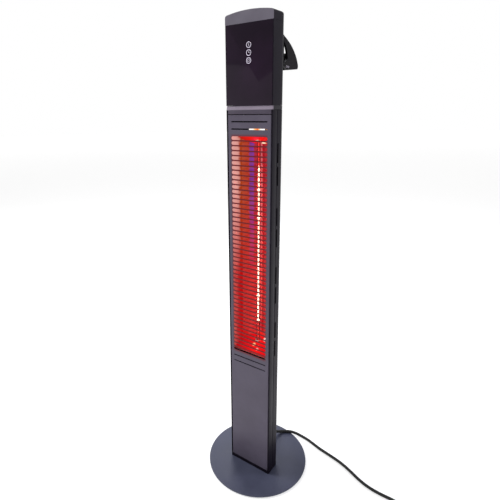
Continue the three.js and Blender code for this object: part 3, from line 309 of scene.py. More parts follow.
def smooth_path(points: Array, per_span: int) -> Array:
    """A centripetal Catmull-Rom curve through points.

    Knots are spaced by the square root of the distance between points, and each span blends its
    four nearest points by the Barry-Goldman pyramid.

    Args:
        points: Points of x, y, z.
        per_span: Samples in each span.

    Returns:
        The sampled curve, ends included.
    """
    ends = np.array([2 * points[0] - points[1], 2 * points[-1] - points[-2]])
    full = np.concatenate([ends[:1], points, ends[1:]])
    knots = np.concatenate([[0.0], np.cumsum(np.linalg.norm(np.diff(full, axis=0), axis=1) ** 0.5)])
    p0, p1, p2, p3 = (full[i : len(full) - 3 + i, None] for i in range(4))
    t0, t1, t2, t3 = (knots[i : len(full) - 3 + i, None, None] for i in range(4))
    t = t1 + (t2 - t1) * np.linspace(0, 1, per_span, endpoint=False)[None, :, None]
    a1 = (t1 - t) / (t1 - t0) * p0 + (t - t0) / (t1 - t0) * p1
    a2 = (t2 - t) / (t2 - t1) * p1 + (t - t1) / (t2 - t1) * p2
    a3 = (t3 - t) / (t3 - t2) * p2 + (t - t2) / (t3 - t2) * p3
    b1 = (t2 - t) / (t2 - t0) * a1 + (t - t0) / (t2 - t0) * a2
    b2 = (t3 - t) / (t3 - t1) * a2 + (t - t1) / (t3 - t1) * a3
    curve = (t2 - t) / (t2 - t1) * b1 + (t - t1) / (t2 - t1) * b2
    return np.concatenate([curve.reshape(-1, 3), points[-1:]])


def merged(parts: Sequence[Shape]) -> Shape:
    """Several meshes as one.

    Args:
        parts: Vertices and faces of each.

    Returns:
        Their vertices and faces together.
    """
    vertices, faces, start = [], [], 0
    for points, shape in parts:
        vertices.append(points)
        faces.extend([[start + i for i in face] for face in shape])
        start += len(points)
    return np.concatenate(vertices), faces


# ---- bent and punched sheet --------------------------------------------------------------------


@dataclass(frozen=True)
class Slot:
    """A slot with half-round ends in a sheet laid flat, u across it and v up it."""

    u: float
    v: float
    length: float
    width: float
    upright: bool = False

    def ring(self, steps: int) -> Array:
        """The slot's outline, anticlockwise from the start of its right or top end.

        Args:
            steps: Steps in each quarter circle.

        Returns:
            Points of u and v.
        """
        radius = self.width / 2
        reach = self.length / 2 - radius
        angles = np.concatenate([arc(-90, 90, 2 * steps), arc(90, 270, 2 * steps)])
        ends = np.repeat([reach, -reach], 2 * steps + 1)
        ring = np.stack([ends + radius * np.cos(angles), radius * np.sin(angles)], axis=1)
        if self.upright:
            ring = np.stack([-ring[:, 1], ring[:, 0]], axis=1)
        return ring + [self.u, self.v]


@dataclass(frozen=True)
class Band:
    """An upright strip of a flat sheet: plain between its columns, or cut into cells with slots."""

    columns: tuple[float, ...]
    slots: tuple[Slot, ...] = ()


@dataclass(frozen=True)
class FoldedSheet:
    """Sheet metal: a line bent in plan, carried up from one height to another, with slots.

    The flat sheet's u is the length along the bent line and its v is the height. A point (u, v) at
    depth d stands at line(u) - d * outward(u), at height v.
    """

    line: Array
    thickness: float
    bottom: float
    top: float
    quarter_steps: int = 4

    @property
    def lengths(self) -> Array:
        """Distance along the line to each of its points."""
        return np.concatenate([[0.0], np.cumsum(np.linalg.norm(np.diff(self.line, axis=0), axis=1))])

    def place(self, uv: Array, depth: float) -> Array:
        """Points of the flat sheet where they stand on the bent one.

        Args:
            uv: Points of u and v.
            depth: Distance in from the outer face.

        Returns:
            Points of x, y, z.
        """
        along = np.gradient(self.line, axis=0)
        along /= np.linalg.norm(along, axis=1)[:, None]
        lengths = self.lengths
        at = np.stack([np.interp(uv[:, 0], lengths, self.line[:, k]) for k in range(2)], axis=1)
        ahead = np.stack([np.interp(uv[:, 0], lengths, along[:, k]) for k in range(2)], axis=1)
        ahead /= np.linalg.norm(ahead, axis=1)[:, None]
        outward = np.stack([ahead[:, 1], -ahead[:, 0]], axis=1)
        return np.column_stack([at - outward * depth, uv[:, 1]])

    def cells(self, band: Band) -> list[tuple[float, float, Slot | None]]:
        """The cells of a band, upwards: each slot's own, and the plain ones between.

        Args:
            band: The band.

        Returns:
            Bottom, top and slot of each cell.
        """
        found: list[tuple[float, float, Slot | None]] = []
        level = self.bottom
        for slot in sorted(band.slots, key=lambda one: one.v):
            half = (slot.length if slot.upright else slot.width) / 2 + 1.2
            low, high = slot.v - half, slot.v + half
            if low > level + 1e-6:
                found.append((level, low, None))
            found.append((max(low, level), high, slot))
            level = high
        found.append((level, self.top, None))
        return found

    def levels(self, bands: Sequence[Band]) -> Array:
        """Every height at which the plain bands need a row of points.

        Args:
            bands: The sheet's bands.

        Returns:
            The heights, upwards.
        """
        found = [self.bottom, self.top]
        for band in bands:
            if not band.slots:
                continue
            for low, high, slot in self.cells(band):
                flat = slot is not None and not slot.upright
                found.extend(np.linspace(low, high, 2 * self.quarter_steps + 1 if flat else 2))
        return np.unique(np.round(found, 5))

    def mesh(self, bands: Sequence[Band]) -> Shape:
        """The sheet as a closed mesh.

        A slot's cell is a ring of four-sided faces between the slot and the cell's border. The
        outer face is copied to the sheet's depth and turned over, and each edge that only one
        face uses gets a wall.

        Args:
            bands: The bands across the sheet, in order.

        Returns:
            The vertices and the faces.
        """
        points, faces, start = [], [], 0
        fine = 2 * self.quarter_steps

        def keep(uv: Array, quads: Array) -> None:
            nonlocal start
            points.append(uv)
            faces.append(quads + start)
            start += len(uv)

        def keep_grid(us: Array, vs: Array) -> None:
            grid = np.stack(np.meshgrid(us, vs, indexing="ij"), axis=-1).reshape(-1, 2)
            index = np.arange(len(grid)).reshape(len(us), len(vs))
            quads = np.stack([index[:-1, :-1], index[1:, :-1], index[1:, 1:], index[:-1, 1:]], axis=-1)
            keep(grid, quads.reshape(-1, 4))

        rows = self.levels(bands)
        for band in bands:
            if not band.slots:
                keep_grid(np.array(band.columns), rows)
                continue
            u0, u1 = band.columns[0], band.columns[-1]
            upright = band.slots[0].upright
            across = np.linspace(u0, u1, fine + 1) if upright else np.array([u0, u1])
            for low, high, slot in self.cells(band):
                if slot is None:
                    keep_grid(across, np.array([low, high]))
                    continue
                inner = slot.ring(self.quarter_steps)
                if upright:
                    us = np.concatenate([across[::-1], across])
                    vs = np.repeat([high, low], fine + 1)
                    outer = np.stack([us, vs], axis=1)
                else:
                    vs = np.linspace(low, high, fine + 1)
                    outer = np.stack([np.repeat([u1, u0], fine + 1), np.concatenate([vs, vs[::-1]])], axis=1)
                count = len(inner)
                index = np.arange(count)
                following = np.roll(index, -1)
                quads = np.stack([index, index + count, following + count, following], axis=1)
                keep(np.concatenate([inner, outer]), quads)
        uv, quads = np.concatenate(points), np.concatenate(faces)
        _, first, inverse = np.unique(np.round(uv, 4), axis=0, return_index=True, return_inverse=True)
        uv, quads = uv[first], inverse.reshape(-1)[quads]
        count = len(uv)
        vertices = np.concatenate([self.place(uv, 0.0), self.place(uv, self.thickness)])
        edges = np.stack([quads, np.roll(quads, -1, axis=1)], axis=-1).reshape(-1, 2)
        both = np.isin(edges[:, 0] * count + edges[:, 1], edges[:, 1] * count + edges[:, 0])
        rim = edges[~both]
        walls = np.stack([rim[:, 1], rim[:, 0], rim[:, 0] + count, rim[:, 1] + count], axis=1)
        return vertices, np.concatenate([quads, quads[:, ::-1] + count, walls]).tolist()


# ---- materials ---------------------------------------------------------------------------------


def linear(hex_colour: str) -> tuple[float, float, float, float]:
    """An sRGB hex colour in linear light.

    Args:
        hex_colour: Six hex digits.

    Returns:
        Red, green, blue and an alpha of one.
    """
    parts = [int(hex_colour[i : i + 2], 16) / 255 for i in (0, 2, 4)]
    light = [c / 12.92 if c <= 0.04045 else ((c + 0.055) / 1.055) ** 2.4 for c in parts]
    return light[0], light[1], light[2], 1.0


def add_node(
    tree: bpy.types.NodeTree,
    kind: str,
    settings: dict[str, object] | None = None,
    links: dict[str | int, bpy.types.NodeSocket] | None = None,
) -> bpy.types.Node:
    """Adds a node with its settings and links.

    Args:
        tree: The material's or world's node tree.
        kind: The node's type.
        settings: Values by input name, or by property name where no input has that name.
        links: Sockets to join to the node's inputs, by input name or number.

    Returns:
        The node.
    """
    node = tree.nodes.new(kind)
    for name, value in (settings or {}).items():
        if name in node.inputs:
            node.inputs[name].default_value = value
        else:
            setattr(node, name, value)
    for name, socket in (links or {}).items():
        tree.links.new(socket, node.inputs[name])
    return node


def share_of(
    tree: bpy.types.NodeTree, value: bpy.types.NodeSocket, none: float, full: float
) -> bpy.types.NodeSocket:
    """How far a place lies on the way between two limits, from 0 to 1.

    Args:
        tree: The material's node tree.
        value: A place or a distance, in metres.
        none: Where the share is 0, in millimetres.
        full: Where the share is 1, in millimetres.

    Returns:
        The share.
    """
    limits = {"From Min": none * MM, "From Max": full * MM}
    return add_node(tree, "ShaderNodeMapRange", limits, {"Value": value}).outputs["Result"]


def mixed(
    tree: bpy.types.NodeTree,
    share: bpy.types.NodeSocket,
    first: bpy.types.NodeSocket | str,
    second: bpy.types.NodeSocket | str,
) -> bpy.types.NodeSocket:
    """A colour between two others.

    Args:
        tree: The material's node tree.
        share: How much of the second one is in it.
        first: The first colour, as a socket or in hex.
        second: The second colour, as a socket or in hex.

    Returns:
        The mixed colour.
    """
    node = add_node(tree, "ShaderNodeMix", {"data_type": "RGBA"}, {0: share})
    for number, colour in ((6, first), (7, second)):
        if isinstance(colour, str):
            node.inputs[number].default_value = linear(colour)
        else:
            tree.links.new(colour, node.inputs[number])
    return node.outputs[2]


@dataclass(frozen=True)
class Finish:
    """A finish whose colour drifts a little and whose skin has a fine relief.

    grain is the size of the relief's lumps and depth their height, both in millimetres. drift is the
    size, in millimetres, of the patches in which the colour and the roughness change.
    """

    name: str
    colour: str
    other_colour: str
    roughness: tuple[float, float]
    grain: float
    depth: float
    drift: float = 60.0
    metallic: float = 0.0
    coat: float = 0.0
    coat_roughness: float = 0.1
    ior: float = 1.5
    specular: float = 0.5
    stretch: tuple[float, float, float] = (1.0, 1.0, 1.0)

    def start(self) -> tuple[bpy.types.Material, bpy.types.Node]:
        """A new material with its one main shader.

        Returns:
            The material and its Principled node.
        """
        material = bpy.data.materials.new(self.name)
        material.use_nodes = True
        shader = material.node_tree.nodes["Principled BSDF"]
        shader.inputs["Metallic"].default_value = self.metallic
        shader.inputs["Coat Weight"].default_value = self.coat
        shader.inputs["Coat Roughness"].default_value = self.coat_roughness
        if self.metallic < 1:
            shader.inputs["IOR"].default_value = self.ior
            shader.inputs["Specular IOR Level"].default_value = self.specular
        material.diffuse_color = linear(self.colour)
        return material, shader

    def relief(self, material: bpy.types.Material, shader: bpy.types.Node) -> None:
        """Colour drift, roughness drift and fine relief on Object coordinates.

        Args:
            material: The material.
            shader: Its Principled node.
        """
        tree = material.node_tree
        where = add_node(tree, "ShaderNodeTexCoord")
        spot = where.outputs["Object"]
        mapping = add_node(tree, "ShaderNodeMapping", {"Scale": self.stretch}, {"Vector": spot})
        place = mapping.outputs["Vector"]
        broad = add_node(
            tree, "ShaderNodeTexNoise", {"Scale": 1 / (self.drift * MM), "Detail": 3.0}, {"Vector": place}
        )
        ramp = add_node(tree, "ShaderNodeValToRGB", links={"Fac": broad.outputs["Fac"]})
        ramp.color_ramp.elements[0].position = 0.35
        ramp.color_ramp.elements[0].color = linear(self.colour)
        ramp.color_ramp.elements[1].position = 0.65
        ramp.color_ramp.elements[1].color = linear(self.other_colour)
        tree.links.new(ramp.outputs["Color"], shader.inputs["Base Color"])
        rough = add_node(
            tree,
            "ShaderNodeMapRange",
            {"From Min": 0.3, "From Max": 0.7, "To Min": self.roughness[0], "To Max": self.roughness[1]},
            {"Value": broad.outputs["Fac"]},
        )
        tree.links.new(rough.outputs["Result"], shader.inputs["Roughness"])
        fine = add_node(
            tree, "ShaderNodeTexNoise", {"Scale": 1 / (self.grain * MM), "Detail": 2.0}, {"Vector": place}
        )
        height = {"Strength": 1.0, "Distance": self.depth * MM}
        bump = add_node(tree, "ShaderNodeBump", height, {"Height": fine.outputs["Fac"]})
        tree.links.new(bump.outputs["Normal"], shader.inputs["Normal"])

    def light_up(self, material: bpy.types.Material, shader: bpy.types.Node) -> None:
        """Adds what a finish has beyond its paint. A plain finish has nothing.

        Args:
            material: The material.
            shader: Its Principled node.
        """

    def make(self) -> bpy.types.Material:
        """The finished material."""
        material, shader = self.start()
        self.relief(material, shader)
        self.light_up(material, shader)
        return material


@dataclass(frozen=True)
class LitMetal(Finish):
    """Bright metal with the lamp's light painted on it, glowing: bands of painted reflection across it,
    blended from its foot to its head, and round painted highlights.

    Places, radii and waver are in millimetres. waver is how far the bands' edges wander, ripple the
    scale of the pattern that moves them, and core the share of a painted highlight's radius that is
    at its full colour.
    """

    top_bands: tuple[tuple[float, str], ...] = ()
    foot_bands: tuple[tuple[float, str], ...] = ()
    spots: tuple[tuple[float, float, float, float, str], ...] = ()
    half_width: float = 60.0
    foot: float = 590.0
    head: float = 820.0
    waver: float = 3.0
    ripple: float = 110.0
    core: float = 0.3
    glow: float = 1.0

    def bands(
        self, tree: bpy.types.NodeTree, value: bpy.types.NodeSocket, stops: tuple[tuple[float, str], ...]
    ) -> bpy.types.NodeSocket:
        """A colour ramp across the trough.

        Args:
            tree: The material's node tree.
            value: Place across the trough, from 0 at the left to 1 at the right.
            stops: X in millimetres and colour of each stop.

        Returns:
            The ramp's colour.
        """
        ramp = add_node(tree, "ShaderNodeValToRGB", links={"Fac": value})
        elements = ramp.color_ramp.elements
        while len(elements) < len(stops):
            elements.new(0.5)
        for element, (x, colour) in zip(elements, stops):
            element.position = (x + self.half_width) / (2 * self.half_width)
            element.color = linear(colour)
        return ramp.outputs["Color"]

    def light_up(self, material: bpy.types.Material, shader: bpy.types.Node) -> None:
        """Draws the painted reflection bands and the painted highlights, and makes them glow.

        Args:
            material: The material.
            shader: Its Principled node.
        """
        tree = material.node_tree
        where = add_node(tree, "ShaderNodeTexCoord").outputs["Object"]
        axes = add_node(tree, "ShaderNodeSeparateXYZ", links={"Vector": where})
        ripples = {"Scale": self.ripple, "Detail": 1.0}
        waves = add_node(tree, "ShaderNodeTexNoise", ripples, {"Vector": where})
        swing = {"To Min": -self.waver * MM, "To Max": self.waver * MM}
        wander = add_node(tree, "ShaderNodeMapRange", swing, {"Value": waves.outputs["Fac"]})
        added = {0: axes.outputs["X"], 1: wander.outputs["Result"]}
        moved = add_node(tree, "ShaderNodeMath", {"operation": "ADD"}, added)
        across = share_of(tree, moved.outputs["Value"], -self.half_width, self.half_width)
        up = share_of(tree, axes.outputs["Z"], self.foot, self.head)
        low = self.bands(tree, across, self.foot_bands)
        high = self.bands(tree, across, self.top_bands)
        colour = mixed(tree, up, low, high)
        # each spot is a painted highlight: a round patch of the lamp's light shining back
        for x, y, z, radius, hot in self.spots:
            away = add_node(tree, "ShaderNodeVectorMath", {"operation": "DISTANCE"}, {0: where})
            away.inputs[1].default_value = (x * MM, y * MM, z * MM)
            near = share_of(tree, away.outputs["Value"], radius, radius * self.core)
            colour = mixed(tree, near, colour, hot)
        # the painted lamp light goes into the emission, so the metal glows with it
        tree.links.new(colour, shader.inputs["Emission Color"])
        shader.inputs["Emission Strength"].default_value = self.glow


@dataclass(frozen=True)
class LitAndShadedPaint(Finish):
    """One paint, lit in front and shaded behind: the front face keeps the paler colour as painted light, and
    all that lies behind it gets a second, darker colour as painted shade.
    """

    painted_shade_colour: str = "1b1720"
    front: float = -40.2
    soft: float = 0.6

    def light_up(self, material: bpy.types.Material, shader: bpy.types.Node) -> None:
        """Mixes the painted shade's darker colour in behind the front face.

        Args:
            material: The material.
            shader: Its Principled node.
        """
        tree = material.node_tree
        where = add_node(tree, "ShaderNodeTexCoord")
        axes = add_node(tree, "ShaderNodeSeparateXYZ", links={"Vector": where.outputs["Object"]})
        share = share_of(tree, axes.outputs["Y"], self.front - self.soft, self.front + self.soft)
        paint = shader.inputs["Base Color"].links[0].from_socket
        tree.links.new(mixed(tree, share, paint, self.painted_shade_colour), shader.inputs["Base Color"])


@dataclass(frozen=True)
class LitPaint(Finish):
    """Paint with the lamp's red light painted on the bars between its slots: a darker, redder colour and a
    red glow.
    """

    bar_painted_lamplight: str = "1c1016"
    glow_colour: str = "660c0e"
    half_width: float = 50.0
    low: float = 372.0
    high: float = 957.0
    soft: float = 4.0

    def light_up(self, material: bpy.types.Material, shader: bpy.types.Node) -> None:
        """Paints the lamp's light on the bars inside the edges of the slotted field: darkens and reddens them
        and makes them glow red.

        Args:
            material: The material.
            shader: Its Principled node.
        """
        tree = material.node_tree
        where = add_node(tree, "ShaderNodeTexCoord")
        axes = add_node(tree, "ShaderNodeSeparateXYZ", links={"Vector": where.outputs["Object"]})
        wide = add_node(tree, "ShaderNodeMath", {"operation": "ABSOLUTE"}, {0: axes.outputs["X"]})
        wide, up = wide.outputs["Value"], axes.outputs["Z"]
        inside = [
            share_of(tree, wide, self.half_width + self.soft, self.half_width - self.soft),
            share_of(tree, up, self.low - self.soft, self.low + self.soft),
            share_of(tree, up, self.high + self.soft, self.high - self.soft),
        ]
        share = inside[0]
        for other in inside[1:]:
            both = add_node(tree, "ShaderNodeMath", {"operation": "MULTIPLY"}, {0: share, 1: other})
            share = both.outputs["Value"]
        paint = shader.inputs["Base Color"].links[0].from_socket
        tree.links.new(mixed(tree, share, paint, self.bar_painted_lamplight), shader.inputs["Base Color"])
        # painted lamp light: the bars glow red inside the slotted field
        tree.links.new(mixed(tree, share, "000000", self.glow_colour), shader.inputs["Emission Color"])
        shader.inputs["Emission Strength"].default_value = 1.0


@dataclass(frozen=True)
class Glow(Finish):
    """A surface that gives light of its own."""

    glow_colour: str = "ffd9a0"
    glow: float = 1.0

    def light_up(self, material: bpy.types.Material, shader: bpy.types.Node) -> None:
        """Gives the surface its light.

        Args:
            material: The material.
            shader: Its Principled node.
        """
        shader.inputs["Emission Color"].default_value = linear(self.glow_colour)
        shader.inputs["Emission Strength"].default_value = self.glow


@dataclass(frozen=True)
class Quartz(Glow):
    """Ruby quartz: clear tinted glass that glows red through its own colour."""

    def light_up(self, material: bpy.types.Material, shader: bpy.types.Node) -> None:
        """Makes the glass clear and gives it its light.

        Args:
            material: The material.
            shader: Its Principled node.
        """
        super().light_up(material, shader)
        shader.inputs["Transmission Weight"].default_value = 1.0


class Coat(Enum):
    """Every finish on the heater, by the name that the pieces use."""

    # powder coat on the rails, the shell, the head and the plinth: satin, with fine orange peel
    BLACK_COAT = Finish("satin_black_powder_coat", "120d18", "15101c", (0.36, 0.44), 0.9, 0.012, specular=0.1)
    # graphite paint on the slotted front, with the lamp's red light painted on its bars as a darker, redder
    # colour and a red glow
    LIT_GRAPHITE = LitPaint(
        "lit_graphite_satin_paint", "544e5c", "5a5463", (0.34, 0.42), 0.7, 0.008, specular=0.2
    )
    # the band between column and head, one paint: paler in front as painted light, dark at its sides and back
    # as painted shade
    COLLAR_PAINT = LitAndShadedPaint(
        "collar_paint_painted_light_and_shade", "867b8b", "8d8292", (0.32, 0.4), 0.7, 0.008, specular=0.25
    )
    # the same paint on the band's skirt, darker as painted shade
    DARK_GRAPHITE = Finish(
        "graphite_satin_paint_painted_shade", "4a4350", "4f4856", (0.34, 0.42), 0.7, 0.008, specular=0.2
    )
    # slate powder coat on the round base
    SLATE_COAT = Finish("slate_powder_coat", "44475a", "4a4d61", (0.4, 0.5), 0.8, 0.014, specular=0.3)
    # lighter satin paint on the cap's front
    CAP_PAINT = Finish("warm_grey_satin_paint", "5f5a66", "66616d", (0.32, 0.4), 0.8, 0.008, specular=0.3)
    # glass printed black on its back, slightly purple
    DARK_GLASS = Finish(
        "back_printed_glass", "1c121f", "261729", (0.05, 0.08), 30.0, 0.002, 90.0, specular=0.18
    )
    # nylon with glass fibre, matt from the mould
    PLASTIC = Finish("moulded_black_nylon", "0b090e", "0f0c13", (0.42, 0.52), 0.6, 0.02, 25.0, specular=0.09)
    # glossier moulding, for the rocker and the gland
    GLOSS_PLASTIC = Finish(
        "polished_black_nylon", "101013", "151518", (0.22, 0.3), 1.4, 0.006, 25.0, specular=0.35
    )
    # rolled aluminium with the lamp's light painted on it: glowing bands of painted reflection and a painted
    # highlight
    BRIGHT_ALUMINIUM = LitMetal(
        *("rolled_aluminium_painted_lamplight", "5a2c2a", "663430", (0.1, 0.16), 14.0, 0.02, 80.0),
        metallic=1.0,
        stretch=(1.0, 1.0, 0.12),
        foot_bands=(
            (-55.5, "c86860"), (-50.5, "c02c30"), (-46.5, "c00e10"), (-31.0, "d00808"),
            (-20.0, "d80c14"), (-2.0, "c80a14"), (2.0, "d83c44"), (7.0, "c00814"), (52.0, "a80a1c"),
        ),
        top_bands=(
            (-55.5, "f0b8b0"), (-48.5, "e8a49a"), (-45.5, "b0441a"), (-31.0, "b42c12"),
            (-28.5, "742c8c"), (-21.0, "7430a0"), (-18.0, "a81030"), (-2.0, "c01018"), (2.0, "e07880"),
            (7.0, "b00e20"), (52.0, "980c28"),
        ),
        # a painted highlight where the lamp shines back from the trough
        spots=((2.0, 10.7, 412.0, 16.0, "ff2018"),),
        glow=0.8,
    )
    # the trough's plain outer side
    MILL_ALUMINIUM = Finish(
        "mill_finish_aluminium", "8c8e92", "9a9ca0", (0.35, 0.45), 1.0, 0.01, 40.0, metallic=1.0
    )
    # the bright aluminium again, where the trough is closed at its ends, with glowing painted reflections and
    # highlights of the lamp
    LIT_END = LitMetal(
        *("rolled_aluminium_painted_lamplight_end", "5a2c2a", "663430", (0.1, 0.16), 14.0, 0.02, 80.0),
        metallic=1.0,
        top_bands=(
            (-56.0, "50080a"), (-40.0, "b0100e"), (0.0, "e81410"), (30.0, "d01010"), (52.0, "a00c10"),
        ),
        foot_bands=(
            (-56.0, "900a14"), (-20.0, "c80c12"), (10.0, "e41014"), (30.0, "dc0a10"), (52.0, "b80a18"),
        ),
        # painted highlights: reflections of the lamp on the end plates
        spots=(
            (10.0, 8.0, 937.0, 9.0, "fff0c8"), (-1.0, -5.2, 944.4, 10.0, "ff3020"),
            (22.4, 5.3, 403.1, 8.0, "ffe8d8"), (-2.7, -15.2, 390.5, 6.0, "ffc890"),
            (12.6, -24.0, 385.0, 5.0, "ffb0a0"),
        ),
        glow=1.15,
    )
    # polished spring steel that holds the lamp, with the lamp's light painted on it as glowing bands of
    # painted highlight
    LIT_CLIP = LitMetal(
        *("spring_steel_painted_lamplight", "c8c4c0", "d4d0cc", (0.08, 0.14), 2.0, 0.004, 8.0),
        metallic=1.0,
        top_bands=(
            (-30.0, "f4f0f0"), (-12.0, "fff4ec"), (-4.0, "ffb060"), (0.0, "ff5820"), (4.0, "ffb060"),
            (12.0, "fff4ec"), (24.0, "fcf6f4"),
        ),
        foot_bands=((-30.0, "f4f0f0"), (24.0, "fcf6f4")),
        glow=1.3,
    )
    # zinc-plated sheet steel
    ZINC = Finish("zinc_plated_steel", "a9abad", "b9bbbc", (0.28, 0.38), 1.2, 0.01, 12.0, metallic=1.0)
    # stainless screws
    STAINLESS = Finish("stainless_steel", "b4b5b6", "c0c1c2", (0.2, 0.3), 0.5, 0.006, 6.0, metallic=1.0)
    # ruby quartz of the lamp's tube
    RUBY = Quartz(
        *("ruby_quartz", "ff8c80", "ff9488", (0.02, 0.05), 20.0, 0.004, 40.0),
        ior=1.46,
        glow_colour="ff1c10",
        glow=0.6,
    )
    # molybdenum leads, red hot
    HOT_LEAD = Glow(
        *("red_hot_molybdenum", "b0a8a0", "bcb4ac", (0.3, 0.4), 0.3, 0.002, 5.0),
        glow_colour="ff2810",
        glow=2.5,
    )
    # coiled tungsten, white hot
    TUNGSTEN = Glow(
        *("white_hot_tungsten", "ffe6c8", "fff0da", (0.4, 0.5), 0.3, 0.002, 5.0),
        glow_colour="ffe0c8",
        glow=5.0,
    )
    # steatite, unglazed
    CERAMIC = Finish("steatite_ceramic", "e6e0d2", "eee9dd", (0.5, 0.62), 0.5, 0.015, 10.0)
    # fibreglass board under green lacquer
    BOARD = Finish("lacquered_circuit_board", "1c5534", "226340", (0.28, 0.4), 1.8, 0.02, 6.0, coat=0.3)
    # relay moulding
    BLUE_PLASTIC = Finish("blue_moulded_nylon", "2a4c8a", "31559a", (0.35, 0.45), 0.8, 0.01, 9.0)
    # turned brass
    BRASS = Finish("turned_brass", "c4a45e", "d0b06a", (0.22, 0.32), 0.6, 0.006, 5.0, metallic=1.0)
    # rubber of the cord, the plug, the strain relief and the pads
    RUBBER = Finish("black_rubber", "2a2c2b", "323433", (0.55, 0.68), 0.8, 0.02, 20.0, specular=0.3)
    # glass-braid sleeve on the inner wires, and the woven strap round the coil
    SLEEVE = Finish("braided_wire_sleeve", "34302c", "46403a", (0.6, 0.75), 0.4, 0.05, 1.5)
    # the touch marks, lit from behind the glass
    LIT_MARK = Glow(
        *("backlit_touch_mark", "c4bccc", "cec6d6", (0.4, 0.5), 0.5, 0.002, 4.0),
        glow_colour="ece4f8",
        glow=0.9,
    )
    # pale paint for the painted highlights at the roots of the handle's wings
    INK = Finish("pale_painted_highlight", "c4bccc", "cec6d6", (0.4, 0.5), 0.5, 0.002, 4.0)
    # nickel-plated pins of the plug
    NICKEL = Finish("nickel_plated_brass", "bdb9ae", "cac6bb", (0.16, 0.24), 0.5, 0.004, 5.0, metallic=1.0)

    def material(self) -> bpy.types.Material:
        """The finish's material, made the first time it is asked for."""
        return bpy.data.materials.get(self.value.name) or self.value.make()


# ---- putting pieces in the scene ---------------------------------------------------------------


@dataclass
class Piece:
    """A mesh before it is put in the scene, with its edges' rounding."""

    name: str
    shape: Shape
    coat: Coat
    nodes: tuple[str, ...] = ()
    slot: str = ""
    body: str = BODY
    bevel: float = 0.0
    bevel_angle: float = 32.0
    bevel_steps: int = 2
    smooth_angle: float = SHARP

    def put(self) -> bpy.types.Object:
        """Makes the object, with its material, its edges and its place in the frame.

        Returns:
            The object.
        """
        vertices, faces = self.shape
        mesh = bpy.data.meshes.new(self.name)
        mesh.from_pydata(np.asarray(vertices, float) * MM, [], faces)
        mesh.validate()
        mesh.materials.append(self.coat.material())
        made = bpy.data.objects.new(self.name, mesh)
        bpy.context.scene.collection.objects.link(made)
        if self.bevel:
            bevel = made.modifiers.new("eased_edges", "BEVEL")
            bevel.width = self.bevel * MM
            bevel.segments = self.bevel_steps
            bevel.limit_method = "ANGLE"
            bevel.angle_limit = math.radians(self.bevel_angle)
            bevel.use_clamp_overlap = True
            mesh.shade_smooth()
            normals = made.modifiers.new("weighted_normals", "WEIGHTED_NORMAL")
            normals.keep_sharp = True
        else:
            mesh.shade_smooth()
            mesh.set_sharp_from_angle(angle=math.radians(self.smooth_angle))
        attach(made, self.body)
        if self.nodes:
            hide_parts(*self.nodes)
        return made


def carve(made: bpy.types.Object, cutters: Sequence[Shape], how: str = "DIFFERENCE") -> None:
    """Cuts shapes out of an object for good, or joins them to it, before its edges are eased.

    Args:
        made: The object.
        cutters: Closed shapes, in millimetres.
        how: The Boolean modifier's operation.
    """
    kept = [(m.type, m) for m in made.modifiers]
    for _, modifier in kept:
        modifier.show_viewport = False
    tools = []
    for vertices, faces in cutters:
        mesh = bpy.data.meshes.new("tool")
        mesh.from_pydata(np.asarray(vertices, float) * MM, [], faces)
        tool = bpy.data.objects.new("tool", mesh)
        bpy.context.scene.collection.objects.link(tool)
        cut = made.modifiers.new("cut", "BOOLEAN")
        cut.operation = how
        cut.solver = "EXACT"
        cut.object = tool
        tools.append((tool, cut))
    bpy.context.view_layer.update()
    graph = bpy.context.evaluated_depsgraph_get()
    result = bpy.data.meshes.new_from_object(made.evaluated_get(graph))
    result.shade_smooth()
    if not kept:
        result.set_sharp_from_angle(angle=math.radians(32))
    old = made.data
    made.data = result
    bpy.data.meshes.remove(old)
    for tool, cut in tools:
        made.modifiers.remove(cut)
        mesh = tool.data
        bpy.data.objects.remove(tool)
        bpy.data.meshes.remove(mesh)
    for _, modifier in kept:
        modifier.show_viewport = True


def block(low: Sequence[float], high: Sequence[float]) -> Shape:
    """A six-sided block, for cutting.

    Args:
        low: Its lowest corner.
        high: Its highest corner.

    Returns:
        The vertices and the faces.
    """
    plan = np.array([[low[0], low[1]], [high[0], low[1]], [high[0], high[1]], [low[0], high[1]]])
    return loft(raised(plan, [(low[2], 0.0), (high[2], 0.0)]))


def dress(node: str, coat: Coat, bevel: float = 0.0) -> None:
    """Gives a CAD node that keeps its own shape a finish and eased edges.

    Args:
        node: The node's name.
        coat: Its finish.
        bevel: Width of the eased edges, in millimetres.
    """
    made = bpy.data.objects[node]
    made.data.materials.clear()
    made.data.materials.append(coat.material())
    if bevel:
        weld = made.modifiers.new("welded", "WELD")
        weld.merge_threshold = 0.00001
        ease = made.modifiers.new("eased_edges", "BEVEL")
        ease.width = bevel * MM
        ease.segments = 2
        ease.limit_method = "ANGLE"
        ease.angle_limit = math.radians(35)
        made.modifiers.new("weighted_normals", "WEIGHTED_NORMAL").keep_sharp = True


# ---- base ----------------------------------------------------------------------------------------


